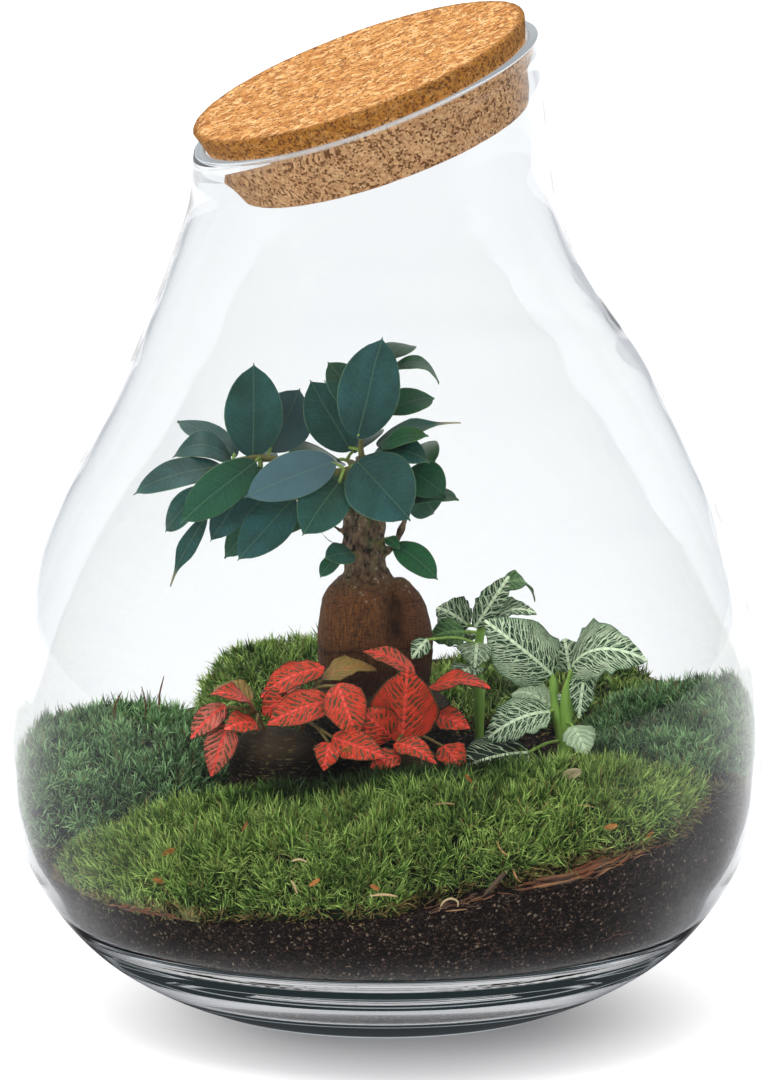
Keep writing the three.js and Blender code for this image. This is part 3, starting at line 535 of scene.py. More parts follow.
def join(parts):
    """Several (points, faces, values...) as one, with the faces renumbered."""
    offset, faces = 0, []
    for part in parts:
        faces.append(part[1] + offset)
        offset += len(part[0])
    others = [np.concatenate([part[k] for part in parts]) for k in range(2, len(parts[0]))]
    return [np.concatenate([part[0] for part in parts]), np.concatenate(faces), *others]


# Shader helpers


class Wire:
    """A node's output. Signs between wires and numbers make Math nodes."""

    def __init__(self, tree, socket):
        self.tree = tree
        self.socket = socket

    def maths(self, operation, *values):
        """A Math node on this wire and the values."""
        return add(self.tree, "Math", dict(enumerate((self, *values))), operation=operation)

    def ranged(self, low, high, to_low=0.0, to_high=1.0):
        """This value moved smoothly from one range to another."""
        limits = {"Value": self, "From Min": low, "From Max": high, "To Min": to_low, "To Max": to_high}
        return add(self.tree, "MapRange", limits, "Result", interpolation_type="SMOOTHSTEP")

    def __add__(self, other):
        return self.maths("ADD", other)

    def __sub__(self, other):
        return self.maths("SUBTRACT", other)

    def __mul__(self, other):
        return self.maths("MULTIPLY", other)

    def __truediv__(self, other):
        return self.maths("DIVIDE", other)

    def __rsub__(self, other):
        return add(self.tree, "Math", {0: other, 1: self}, operation="SUBTRACT")

    def __rtruediv__(self, other):
        return add(self.tree, "Math", {0: other, 1: self}, operation="DIVIDE")

    def __abs__(self):
        return self.maths("ABSOLUTE")


def feed(tree, socket, value):
    """Links a wire to a socket, or sets the socket to a plain value."""
    if isinstance(value, Wire):
        tree.links.new(value.socket, socket)
    else:
        socket.default_value = value


def wires(tree, node):
    """A node's outputs by name."""
    return {socket.name: Wire(tree, socket) for socket in node.outputs}


def add(tree, kind, inputs=None, output=0, **options):
    """A shader node with its sockets set or linked, as the wire that leaves it."""
    made = tree.nodes.new("ShaderNode" + kind)
    for key, value in options.items():
        setattr(made, key, value)
    for key, value in (inputs or {}).items():
        feed(tree, made.inputs[key], value)
    return Wire(tree, made.outputs[output])


def vectors(tree, operation, *values, output=0):
    """A Vector Math node."""
    return add(tree, "VectorMath", dict(enumerate(values)), output, operation=operation)


def axes_of(tree, vector):
    """The three numbers of a vector."""
    return list(wires(tree, add(tree, "SeparateXYZ", {0: vector}).socket.node).values())


def kept_values(tree, name):
    """The three numbers that a piece keeps at its points under a name."""
    return axes_of(tree, add(tree, "Attribute", output="Vector", attribute_name=name))


def blended(tree, factor, first, second, kind="MIX"):
    """A colour between two, by a factor."""
    return add(tree, "Mix", {0: factor, 6: first, 7: second}, 2, data_type="RGBA", blend_type=kind)


def layered(tree, base, *coats):
    """A colour under coats, each of them a factor and a colour."""
    for factor, shade in coats:
        base = blended(tree, factor, base, shade)
    return base


def colour_ramp(value, *stops):
    """A colour read from a row of (position, colour) stops."""
    ramp = add(value.tree, "ValToRGB", {"Fac": value})
    marks = ramp.socket.node.color_ramp.elements
    for _ in stops[2:]:
        marks.new(0.5)
    for mark, (position, shade) in zip(marks, stops):
        mark.position = position
        mark.color = shade
    return ramp


def millimetres(tree, stretch=(1, 1, 1)):
    """The place on the piece in millimetres, each axis divided by its stretch."""
    scale = tuple(1000 / value for value in stretch)
    return vectors(tree, "MULTIPLY", add(tree, "TexCoord", output="Object"), scale)


def shared_group(name, place_name, numbers, results, build):
    """A node group, made once: a place and numbers come in, and build gives each result."""
    if name in bpy.data.node_groups:
        return bpy.data.node_groups[name]
    tree = bpy.data.node_groups.new(name, "ShaderNodeTree")
    tree.interface.new_socket(place_name, in_out="INPUT", socket_type="NodeSocketVector")
    for label, default in numbers.items():
        socket = tree.interface.new_socket(label, in_out="INPUT", socket_type="NodeSocketFloat")
        socket.default_value = default
    for label in results:
        tree.interface.new_socket(label, in_out="OUTPUT", socket_type="NodeSocketFloat")
    given = wires(tree, tree.nodes.new("NodeGroupInput"))
    out = tree.nodes.new("NodeGroupOutput")
    for label, value in build(tree, given).items():
        feed(tree, out.inputs[label], value)
    return tree


def effect(group, **inputs):
    """A shared group placed in a material with its own values, as its outputs by name."""
    tree = next(value.tree for value in inputs.values() if isinstance(value, Wire))
    made = tree.nodes.new("ShaderNodeGroup")
    made.node_tree = group
    for key, value in inputs.items():
        feed(tree, made.inputs[key], value)
    return wires(tree, made)


def build_mottle(tree, given):
    """Cloudy variation."""
    scale = 1.0 / given["Size"]
    inputs = {"Vector": given["Place"], "Scale": scale, "Detail": given["Detail"], "Roughness": 0.6}
    wide = (add(tree, "TexNoise", inputs, "Fac") - 0.5) * given["Contrast"]
    return {"Value": add(tree, "Math", {0: wide, 1: 0.5}, operation="ADD", use_clamp=True)}


def mottle(at, size, contrast, detail=5.0):
    """Cloudy variation from 0 to 1, for every natural finish here."""
    usual = {"Size": 4.0, "Detail": 5.0, "Contrast": 1.6}
    group = shared_group("Mottle", "Place", usual, ["Value"], build_mottle)
    return effect(group, Place=at, Size=size, Contrast=contrast, Detail=detail)["Value"]


def build_granules(tree, given):
    """Cells of uneven shape and the seams between them."""
    at = given["Place"]
    bent = add(tree, "TexNoise", {"Vector": at, "Scale": 0.9, "Detail": 2.0}, "Color")
    where = vectors(tree, "ADD", at, vectors(tree, "MULTIPLY", bent, (1.3, 1.3, 1.3)))
    inputs = {"Vector": where, "Scale": 1.0 / given["Size"]}
    cell = add(tree, "TexVoronoi", inputs, "Color")
    edge = add(tree, "TexVoronoi", inputs, "Distance", feature="DISTANCE_TO_EDGE")
    seam = edge.ranged(0.0, given["Seam"], 1.0, 0.0)
    return {"Grain": add(tree, "SeparateColor", {"Color": cell}), "Seam": seam, "Height": edge}


def granules(at, size, seam):
    """Pressed or crumbly grains: a number for each grain, their seams and their height."""
    results = ["Grain", "Seam", "Height"]
    group = shared_group("Granules", "Place", {"Size": 2.4, "Seam": 0.08}, results, build_granules)
    return effect(group, Place=at, Size=size, Seam=seam)


def build_veins(tree, given):
    """A midrib and the veins that leave it, sweep forward and fork towards the edge."""
    blade, spacing = given["Blade"], given["Spacing"]
    right, along, depth = axes_of(tree, blade)
    across = abs(right)
    drift = (add(tree, "TexNoise", {"Vector": blade, "Scale": 0.22, "Detail": 1.0}, "Fac") - 0.5) * 3.2
    swept = along - across * (given["Sweep"] + across * 0.018) + drift
    cells = swept / spacing
    number = cells.maths("ROUND")
    which = add(tree, "CombineXYZ", {0: number, 1: right.maths("SIGN"), 2: depth.maths("ROUND")})
    pick = add(tree, "TexWhiteNoise", {"Vector": which}, "Value")
    early = given["Fork"] * (pick * 0.8 + 0.6)
    apart = abs(cells - number)
    for later, growth, most in ((1.0, 0.12, 0.25), (2.3, 0.08, 0.125)):
        parted = ((across - early * later) * growth).maths("MAXIMUM", 0.0).maths("MINIMUM", most)
        apart = abs(apart - parted)
    distance = apart * spacing
    uneven = add(tree, "TexNoise", {"Vector": blade, "Scale": 0.7, "Detail": 2.0}, "Fac") * 1.1 + 0.45
    width = given["Vein"] * (1.0 - across * 0.058) * uneven
    veins = distance.ranged(width, width + 0.12, 1.0, 0.0)
    crossing = add(tree, "CombineXYZ", {0: swept, 1: across * 0.7})
    mesh = add(
        tree, "TexVoronoi", {"Vector": crossing, "Scale": 0.62}, "Distance",
        feature="DISTANCE_TO_EDGE", voronoi_dimensions="2D",
    )
    veins = veins.maths("MAXIMUM", mesh.ranged(0.03, 0.1, 1.0, 0.0) * given["Net"])
    midrib = across.ranged(given["Midrib"], given["Midrib"] + 0.25, 1.0, 0.0)
    return {
        "Veins": veins.maths("MAXIMUM", midrib),
        "Midrib": midrib,
        "Height": distance.maths("MINIMUM", 0.6),
    }


def leaf_veins(flat, **numbers):
    """The veins of a leaf, from the flat coordinates of its blade."""
    usual = {"Spacing": 2.6, "Sweep": 0.75, "Fork": 4.0, "Vein": 0.4, "Midrib": 0.4, "Net": 0.0}
    group = shared_group("Leaf veins", "Blade", usual, ["Veins", "Midrib", "Height"], build_veins)
    return effect(group, Blade=flat, **numbers)


def new_material(name, roughness, specular=0.5, **constants):
    """A material with one Principled shader and its tree. In constants, _ stands for a space."""
    made = bpy.data.materials.new(name)
    made.use_nodes = True
    inputs = shader_of(made).inputs
    inputs["Roughness"].default_value = roughness
    inputs["Specular IOR Level"].default_value = specular
    for key, value in constants.items():
        inputs[key.replace("_", " ")].default_value = value
    return made, made.node_tree


def shader_of(material):
    """The material's Principled shader."""
    return material.node_tree.nodes["Principled BSDF"]


def finished(material, base, relief=None, depth=0.0):
    """The material with its colour and, from a relief in millimetres times a depth, its bumps."""
    tree, inputs = material.node_tree, shader_of(material).inputs
    feed(tree, inputs["Base Color"], base)
    if relief is not None:
        bump = add(tree, "Bump", {"Height": relief, "Distance": depth * MM, "Strength": 1.0}, "Normal")
        feed(tree, inputs["Normal"], bump)
    return material


def covered(material, *covers):
    """The material with shaders laid over its own, each shown by a factor."""
    tree = material.node_tree
    shader = Wire(tree, shader_of(material).outputs[0])
    for factor, cover in covers:
        shader = add(tree, "MixShader", {0: factor, 1: shader, 2: cover})
    tree.links.new(shader.socket, tree.nodes["Material Output"].inputs["Surface"])
    return material


# Jar


def tilt_at(height):
    """How far a section of the jar leans at a height, in radians."""
    share = np.clip((height - NECK_START) / (MOUTH[1] - NECK_START), 0, 1)
    return math.radians(MOUTH_TILT) * share**LEAN_GROWTH


def sections(rows, sides):
    """Rings of points from rows of middle, height, radius and lean, in metres."""
    x, z, radius, tilt = [np.asarray(column, float)[:, None] for column in zip(*rows)]
    turn = np.linspace(0, 2 * math.pi, sides, endpoint=False)[None]
    out = radius * np.cos(turn)
    return np.stack([x + out * np.cos(tilt), radius * np.sin(turn), z + out * np.sin(tilt)], -1) * MM


def wall_inside():
    """Rows of the inside, from the middle of the floor to just under the lip."""
    outer = through(OUTSIDE, 240)
    slope = np.gradient(outer, axis=0)
    length = np.hypot(slope[:, 1], slope[:, 2])
    thick = WALL / length
    inner = np.stack([outer[:, 0], outer[:, 1] + thick * slope[:, 2], outer[:, 2] - thick * slope[:, 1]], -1)
    wall = inner[(outer[:, 1] > WALL_STARTS) & (outer[:, 1] < MOUTH[1] - 3)]
    return through(np.concatenate([INSIDE_FLOOR, wall[4::12]]), 140)


INSIDE = wall_inside()


def room_radius(height):
    """Inner radius of the jar at a height, both in millimetres, below the neck."""
    rows = INSIDE[3:]
    return np.interp(height, rows[:, 1], rows[:, 2])


def glass_material():
    """Clear glass with a painted glow along its lip and the rim of its foot, and a painted shadow inside its
    foot where it stands.
    """
    glass, _, _ = settings()
    constants = {"Transmission_Weight": 1.0, "IOR": glass.ior, "Base_Color": glass.tint}
    made, tree = new_material("clear_glass", 0.0, **constants)
    facing = add(tree, "LayerWeight", {"Blend": 0.5}, "Facing")
    edge = blended(tree, facing.ranged(0.78, 1.0), tuple(glass.tint), (0.66, 0.73, 0.78, 1))
    lip, foot, _ = kept_values(tree, "jar")
    # Painted glow: a pale emission along the lip's crest and the bottom rim.
    painted_glow = add(tree, "Emission", {"Color": (0.74, 0.81, 0.86, 1)})
    # Painted shadow: a near-black emission on the inside of the underside, where the foot stands.
    painted_foot_shadow = add(tree, "Emission", {"Color": (0.016, 0.026, 0.028, 1)})
    clear = add(tree, "BsdfTransparent", {"Color": (0.97, 0.98, 0.98, 1)})
    within = foot * add(tree, "NewGeometry", output="Backfacing")
    path = wires(tree, tree.nodes.new("ShaderNodeLightPath"))
    passed = path["Is Shadow Ray"].maths("MAXIMUM", path["Is Diffuse Ray"])
    made.cycles.emission_sampling = "NONE"
    return covered(finished(made, edge), (lip * 0.6, painted_glow), (within, painted_foot_shadow), (passed, clear))


def at_mouth(radius, along):
    """A row of a section across the mouth, so far along its axis."""
    lean = math.radians(MOUTH_TILT)
    return MOUTH[0] - along * math.sin(lean), MOUTH[1] + along * math.cos(lean), radius, lean


class TERRARIUM_OT_jar(bpy.types.Operator):
    """Blow the glass jar"""

    bl_idname = "terrarium.jar"
    bl_label = "Jar"

    def execute(self, context):
        sides = 128
        middle, half = (LIP_OUTSIDE + LIP_BORE) / 2, (LIP_OUTSIDE - LIP_BORE) / 2
        rows = [(x, z, radius, tilt_at(z)) for x, z, radius in through(OUTSIDE, 100)]
        rows += [
            at_mouth(middle + half * math.cos(turn), LIP_HEIGHT * (math.sin(turn) - 1))
            for turn in np.linspace(0, math.pi, 9)
        ]
        crest = np.arange(len(rows) - 8, len(rows) - 2) + 1
        rows += [(x, z, radius, tilt_at(z)) for x, z, radius in INSIDE[::-1]]
        rows.append((0, rows[-1][1], 0.01, 0))
        rows.insert(0, (0, 0, 0.01, 0))
        height = np.array([row[1] for row in rows])
        # Kept values: a painted glow at the bottom rim and the lip's crest, and the underside that shows a
        # painted shadow.
        values = np.zeros((len(rows), 3))
        values[:, 0] = 1.2 * np.exp(-(((height - 0.5) / 0.5) ** 2))
        values[crest, 0] = 0.8
        values[:2, 1] = 1
        faces = grid_faces(len(rows), sides)
        values = np.repeat(values, sides, 0)
        points = sections(rows, sides)
        piece = new_piece("clear_glass_jar", points, faces, [glass_material()], data={"jar": values})
        finish(piece, "glass", "jar")
        return {"FINISHED"}


# Cork


def cork_material():
    """Pressed cork: warm granules with dark flecks, darker at its rim, and painted paler with reflection
    haze where its side sits inside the neck.
    """
    glass, _, _ = settings()
    made, tree = new_material("pressed_cork", 0.85, 0.2)
    at = millimetres(tree)
    size = glass.granule / MM
    grains = granules(at, size, 0.1)
    fine = granules(at, size * 0.36, 0.12)["Grain"]
    cloud = mottle(at, 0.9, 2.4)
    rim, painted_haze, _ = kept_values(tree, "cork")
    tone = colour_ramp(
        grains["Grain"],
        (0.0, srgb(140, 84, 38)), (0.2, srgb(184, 124, 62)), (0.6, tuple(glass.cork)),
        (1.0, srgb(236, 192, 134)),
    )
    often = rim.maths("MAXIMUM", painted_haze) * 0.08 + 0.13
    fleck = fine.ranged(often, often + 0.06, 0.85, 0.0)
    base = layered(
        tree, tone,
        (cloud * 0.5, srgb(176, 116, 60)),
        (rim * 0.85, blended(tree, fine, srgb(84, 46, 10), srgb(156, 104, 36))),
        # Painted reflection haze: the side inside the neck, seen through the glass, is blended paler and
        # greyer.
        (painted_haze * 0.75, blended(tree, fine, srgb(112, 80, 56), srgb(196, 158, 120))),
        (fleck, srgb(88, 52, 24)),
        (grains["Seam"] * 0.35, srgb(134, 84, 40)),
    )
    return finished(made, base, cloud * 0.4 - fleck * 0.5 - grains["Seam"] * 0.25, 0.5)


def cork_outline():
    """Radius and height over the mouth of each row of the stopper, from its foot to its top."""
    top, bottom, above, below, bevel = [CORK[key] for key in ("top", "bottom", "above", "below", "bevel")]
    bends = np.linspace(0.2, 1.5, 5)
    sides = zip(np.linspace(bottom, top, 26)[1:], np.linspace(bevel - below, above - bevel, 26)[1:])
    rows = [(radius, -below) for radius in np.linspace(0.05, bottom - bevel, 14)]
    rows += [(bottom - bevel * (1 - math.sin(a)), bevel * (1 - math.cos(a)) - below) for a in bends]
    rows += list(sides)
    rows += [(top - bevel * (1 - math.cos(a)), above - bevel * (1 - math.sin(a))) for a in bends]
    rows += [(radius, above) for radius in np.linspace(top - bevel, 0.05, 34)]
    return np.array(rows)


class TERRARIUM_OT_cork(bpy.types.Operator):
    """Turn the cork stopper"""

    bl_idname = "terrarium.cork"
    bl_label = "Cork"

    def execute(self, context):
        sides = 180
        outline = cork_outline()
        rings = sections([at_mouth(radius, along) for radius, along in outline], sides)
        middle = np.array([MOUTH[0], 0, MOUTH[1] - CORK["above"]]) * MM
        rough = 0.16 * noise(rings / MM, 1.6, 5) + 0.12 * noise(rings / MM, 5, 6) - 0.12
        rings = rings + unit(rings - middle) * rough[..., None] * MM
        reach, height = outline.T
        ends = [-CORK["below"], CORK["above"]], [CORK["bottom"], CORK["top"]]
        on_side = reach > np.interp(height, *ends) - 1.2 * CORK["bevel"]
        band = on_side * smooth_step(-2, 1, height)
        # The side inside the neck, which the material paints with reflection haze.
        painted_haze = on_side * smooth_step(1, -3, height)
        values = np.repeat(np.stack([band, painted_haze, reach * 0], -1), sides, 0)
        faces = grid_faces(len(outline), sides)
        piece = new_piece("pressed_cork_stopper", rings, faces, [cork_material()], data={"cork": values})
        finish(piece, "cork", "cork_lid")
        return {"FINISHED"}


# Soil


def ground(right, back):
    """Height of the soil, in millimetres."""
    height = SOIL_LEVEL + SOIL_RISE[0] * right + SOIL_RISE[1] * back
    for u, d in HEAPS:
        height = height + HEAP_HEIGHT * np.exp(-((right - u) ** 2 + (back - d) ** 2) / HEAP_SPREAD**2)
    return height + 1.4 * np.sin(right / 11 + 1) * np.cos(back / 13)


def soil_material():
    """Moist crumbly soil with lighter fibres and grit."""
    _, given, _ = settings()
    made, tree = new_material("potting_soil", 0.92, 0.12)
    at = millimetres(tree)
    size = given.crumb / MM
    crumbs = granules(at, size, 0.22)
    clods = granules(at, size * 3.2, 0.16)
    cloud = mottle(at, 8.0, 2.6)
    fibres = mottle(millimetres(tree, (2.6, 1.2, 0.6)), 0.7, 3.2)
    base = colour_ramp(
        crumbs["Grain"],
        (0.0, srgb(9, 7, 7)), (0.45, srgb(25, 19, 17)), (0.76, tuple(given.soil)), (1.0, srgb(118, 95, 80)),
    )
    base = layered(
        tree, base,
        (clods["Grain"].ranged(0.6, 1.0, 0.0, 0.3), srgb(66, 49, 43)),
        (cloud.ranged(0.35, 0.9, 0.0, 0.4), srgb(20, 15, 14)),
        (fibres.ranged(0.72, 0.95, 0.0, 0.5), srgb(140, 102, 72)),
        (clods["Seam"] * 0.7, srgb(18, 12, 11)),
        (crumbs["Seam"], srgb(15, 10, 9)),
        (crumbs["Grain"].ranged(0.975, 0.98, 0.0, 0.6), srgb(142, 124, 106)),
    )
    return finished(made, base, crumbs["Height"] + clods["Height"] * 0.7 + fibres * 0.3, 0.8)


def peat_material():
    """Dark matted peat of the root balls, held by olive brown fibres."""
    made, tree = new_material("matted_peat", 0.8, 0.25)
    threads = mottle(millimetres(tree, (3.2, 3.2, 0.7)), 1.0, 3.2)
    cloud = mottle(millimetres(tree), 7.0, 2.0)
    rise, _, _ = kept_values(tree, "ball")
    base = layered(
        tree, blended(tree, threads, srgb(17, 12, 10), srgb(54, 41, 30)),
        (threads.ranged(0.74, 0.98, 0.0, 0.85), srgb(122, 106, 66)),
        (cloud * 0.5, srgb(22, 16, 13)),
        (rise.ranged(0.82, 1.0, 0.0, 0.4), srgb(98, 82, 60)),
    )
    return finished(made, base, threads, 0.8)


class TERRARIUM_OT_soil(bpy.types.Operator):
    """Fill in the soil"""

    bl_idname = "terrarium.soil"
    bl_label = "Soil"

    def execute(self, context):
        sides, side_rows, top_rows = 230, 80, 36
        turn = np.linspace(0, 2 * math.pi, sides, endpoint=False)
        direction = np.stack([np.cos(turn), np.sin(turn)], -1)
        rows = INSIDE[INSIDE[:, 1] < 130]
        gone = np.concatenate([[0], np.cumsum(np.hypot(*np.diff(rows[:, 1:], axis=0).T))])
        edge = np.full(sides, 100.0)
        for _ in range(12):
            radius = room_radius(edge) - GAP
            edge = ground(radius * direction[:, 0], radius * direction[:, 1])
        share = np.linspace(0, 1, side_rows)[:, None]
        along = (0.25 * share + 0.75 * (1 - (1 - share) ** 1.4)) * np.interp(edge, rows[:, 1], gone)[None]
        radius = np.interp(along, gone, rows[:, 2]) - GAP
        lift = GAP * np.interp(along, gone, np.linspace(1, 0, len(gone)))
        height = np.interp(along, gone, rows[:, 1]) + lift
        side = np.stack([radius * direction[:, 0], radius * direction[:, 1], height], -1)
        voids = np.clip(noise(side, 2.3, 3), 0, 1) * 0.9 + np.clip(noise(side, 0.9, 4), 0, 1) * 0.4
        side[..., :2] -= direction[None] * voids[..., None]
        side[..., 2] += voids * smooth_step(60, 20, height)
        shrink = np.linspace(1, 0.001, top_rows + 1)[1:, None]
        outer = room_radius(edge)[None] - GAP
        level = np.zeros((top_rows, sides))
        top = np.stack([shrink * outer * direction[:, 0], shrink * outer * direction[:, 1], level], -1)
        top[..., 2] = ground(top[..., 0], top[..., 1]) + 0.9 * noise(top, 2.4, 8) + 0.5 * noise(top, 1.1, 9)
        points = place(np.concatenate([side, top]))
        faces = grid_faces(side_rows + top_rows, sides)
        piece = new_piece("potting_soil_bed", points, faces, [soil_material()])
        finish(piece, "soil", "soil")
        return {"FINISHED"}


class TERRARIUM_OT_root_balls(bpy.types.Operator):
    """Set the root balls of peat"""

    bl_idname = "terrarium.root_balls"
    bl_label = "Root balls"

    def execute(self, context):
        material = peat_material()
        rows, sides = 56, 96
        profile = through(PEAT_PROFILE, rows)
        share, rise = profile[:, 0, None], profile[:, 1, None]
        turn = np.linspace(0, 2 * math.pi, sides, endpoint=False)
        faces = grid_faces(rows, sides)
        values = np.repeat(rise * np.ones(3), sides, 0)
        for name, (right, back, radius, bottom, top, seed) in ROOT_BALLS.items():
            reach = np.maximum(0.02, radius * share - 0.4)
            up = np.broadcast_to(bottom + (top - bottom) * rise, (rows, sides))
            shape = np.stack([right + reach * np.cos(turn), back + reach * np.sin(turn), up], -1)
            middle = np.array([right, back, (bottom + top) / 2])
            rough = 1.0 * noise(shape, 6, seed) + 0.8 * noise(shape, (4, 4, 1.3), seed + 1) - 0.5
            shape = shape + unit(shape - middle) * rough[..., None] * np.clip(share, 0.2, 1)[..., None]
            plug = name.replace("root_ball", "peat_plug")
            piece = new_piece(plug, place(shape), faces, [material], data={"ball": values})
            finish(piece, "peat", name)
        return {"FINISHED"}


# Litter


def litter_material():
    """Reddish bark fibres, straw and scales, each of its own shade."""
    made, tree = new_material("plant_litter", 0.7, 0.3)
    shade, pick, _ = kept_values(tree, "litter")
    streaks = mottle(millimetres(tree), 0.5, 2.6)
    base = colour_ramp(
        shade,
        (0.0, srgb(60, 44, 36)), (0.15, srgb(100, 82, 66)), (0.45, srgb(146, 84, 54)),
        (0.7, srgb(202, 126, 58)), (1.0, srgb(214, 198, 156)),
    )
    base = layered(
        tree, base,
        (streaks * 0.5, srgb(70, 40, 28)),
        (pick.ranged(0.75, 1.0, 0.0, 0.5), srgb(200, 150, 104)),
    )
    return finished(made, base, streaks, 0.25)


def fibre(points, radius, shade, pick, count, sides=6):
    """One fibre that thins to both ends: points, triangles and values."""
    line = through(points, count)
    share = np.linspace(0.04, 0.96, count)
    made, faces = tube(held_in(line, radius + 0.4), radius * np.sin(math.pi * share) ** 0.5, sides)
    return made, faces, np.tile((shade, pick, 0.0), (len(made), 1))


def closed_sheet(upper, under, rows, columns):
    """Points and triangles of a thin sheet from the grids of its two faces."""
    points = np.concatenate([upper.reshape(-1, 3), under.reshape(-1, 3)])
    last, count = columns - 1, rows * columns
    quads = grid_faces(rows, columns, closed=False)
    rim = np.concatenate([
        np.arange(columns), np.arange(1, rows) * columns + last,
        (rows - 1) * columns + np.arange(last - 1, -1, -1), np.arange(rows - 2, 0, -1) * columns,
    ])
    after = np.roll(rim, -1)
    band = np.stack([rim, after, after + count, rim + count], -1)
    return points, split(np.concatenate([quads[:, ::-1], quads + count, band]))


def scale(right, back, up, length, width, turn, shade, pick):
    """A small cupped scale, closed and thin."""
    rows, columns = 9, 7
    t, s = np.linspace(0, 1, rows)[:, None], np.linspace(-1, 1, columns)[None]
    half = width / 2 * (np.sin(math.pi * (0.05 + 0.9 * t)) ** 0.7)
    x, y = length * (t - 0.5) + 0 * s, half * s
    z = -0.5 * (s**2) * half - 0.6 * (2 * t - 1) ** 2
    cos, sin = math.cos(math.radians(turn)), math.sin(math.radians(turn))
    depth = back - y * 0.35 + x * 0.1 + z * 0.6
    top = np.stack([right + x * cos - y * sin * 0.3, depth, up + x * sin + y * cos], -1)
    points, faces = closed_sheet(top, top + np.array([0, 0.35, 0.1]), rows, columns)
    return held_in(points, SOFT_GAP), faces, np.tile((shade, pick, 0.0), (len(points), 1))


def lying(start, end, near, far, lift, count=9):
    """Points over the ground, from one turn in degrees and one radius to another."""
    turn = np.radians(np.linspace(start, end, count))
    reach = np.linspace(near, far, count) + 0.35 * noise(np.stack([turn * 60, turn, turn], -1), 1.0, 3)
    right, back = reach * np.cos(turn), reach * np.sin(turn)
    return np.stack([right, back, ground(right, back) + lift], -1)


def bark_splinters(rng):
    """The strip of bark: a core under many splinters."""
    low, high, inner, outer, thick = BARK_STRIP.values()
    middle = (inner + outer) / 2
    heart = lying(low, high, middle, middle, 0.2, 24)
    heart[:, 2] += 0.5 * noise(heart, 5, 6)
    strip = [fibre(heart, 2.3, 0.04, 0.3, 40, 14)]
    for _ in range(90):
        start = rng.uniform(low - 1.5, high - 3)
        end = min(start + rng.uniform(2.5, 9), high + 1.5)
        away, lift = rng.uniform(-1, 1), rng.uniform(-0.6, 1)
        rounded = math.sqrt(max(0.05, 1 - lift * lift))
        near = middle + away * rounded * (outer - inner) / 2
        far = near + rng.uniform(-0.9, 0.9)
        line = lying(start, end, near, far, lift * (thick - 0.6) + rng.uniform(-0.3, 0.3))
        strip.append(fibre(line, rng.uniform(0.3, 0.8), rng.uniform(0.06, 0.5), rng.uniform(0, 1), 12))
    return join(strip)


def loose_litter(rng):
    """Straw and scales on the moss, and thatch along its foot."""
    loose = [fibre(points, radius, shade, 0.3, 14, 8) for radius, shade, points in STRAWS]
    loose += [scale(*row, rng.uniform(0, 0.6)) for row in SCALES]
    for start, end, near, far, count, usual in THATCH:
        for _ in range(count):
            turn, reach = rng.uniform(start, end), rng.uniform(near, far)
            long, slope = rng.uniform(1.2, 3.4), rng.normal(0, 1.4)
            line = lying(turn, turn + long, reach, reach + slope, rng.uniform(0.2, 1.6), 6)
            line[:, 2] += np.linspace(0, rng.uniform(-1.5, 1.5), 6)
            radius, shade = rng.uniform(0.18, 0.4), usual + rng.uniform(-0.2, 0.2)
            loose.append(fibre(line, radius, shade, rng.uniform(0, 1), 7, 5))
    return join(loose)


def root_threads(rng):
    """Fine roots in the soil, along the glass."""
    threads = []
    for _ in range(60):
        turn, height = rng.uniform(0, 2 * math.pi), rng.uniform(24, 76)
        run = rng.uniform(5, 22)
        share = np.linspace(0, 1, 12)
        turns = turn + share * run * rng.choice([-1, 1]) / 130 + 0.01 * np.cumsum(rng.normal(size=12))
        heights = height + share * rng.normal(0, 6) + np.cumsum(rng.normal(0, 0.5, 12))
        reach = room_radius(heights) - THREAD_GAP
        line = np.stack([reach * np.cos(turns), reach * np.sin(turns), heights], -1)
        buried = line[:, 2] < ground(line[:, 0], line[:, 1]) - 2
        if buried.all():
            radius, shade = rng.uniform(0.08, 0.15), rng.uniform(0.05, 0.4)
            threads.append(fibre(line, radius, shade, rng.uniform(0, 0.6), 14, 5))
    return join(threads)


class TERRARIUM_OT_litter(bpy.types.Operator):
    """Scatter bark, straw and scales"""

    bl_idname = "terrarium.litter"
    bl_label = "Litter"

    def execute(self, context):
        material = litter_material()
        rng = np.random.default_rng(77)
        for name, made, slot, nodes in [
            ("splintered_bark_strip", bark_splinters(rng), "bark", ["bark_strip"]),
            ("straw_and_scales", loose_litter(rng), "bark", []),
            ("root_threads", root_threads(rng), "soil", []),
        ]:
            points, faces, values = made
            piece = new_piece(name, place(points), faces, [material], data={"litter": values})
            finish(piece, slot, *nodes)
        return {"FINISHED"}


# Moss


def cushion_outline(shape, turn):
    """How far a cushion reaches from its middle in a direction."""
    u, d = np.cos(turn), np.sin(turn)
    right, back = shape["middle"]
    depth = np.where(d < 0, shape["front"], shape["behind"])
    own = ((np.abs(u) / shape["length"]) ** 3 + (np.abs(d) / depth) ** 3) ** (-1 / 3)
    to_middle = right * u + back * d
    bare = np.where((u > 0) & (d < 0), shape["bare"] * np.sin(2 * np.arctan2(u, -d)), 0)
    limit = shape["reach"] - bare
    to_glass = -to_middle + np.sqrt(to_middle**2 + limit**2 - right**2 - back**2)
    return np.minimum(own, to_glass)


def cushion_top(shape, right, back):
    """Height of a cushion over a place, or far below where it doesn't reach."""
    u, d = right - shape["middle"][0], back - shape["middle"][1]
    share = np.hypot(u, d) / cushion_outline(shape, np.arctan2(d, u))
    inside = share < 1
    dome = shape["height"] * np.sqrt(1 - np.clip(share, 0, 1) ** 3.2)
    return np.where(inside, ground(right, back) + dome, -1000.0)


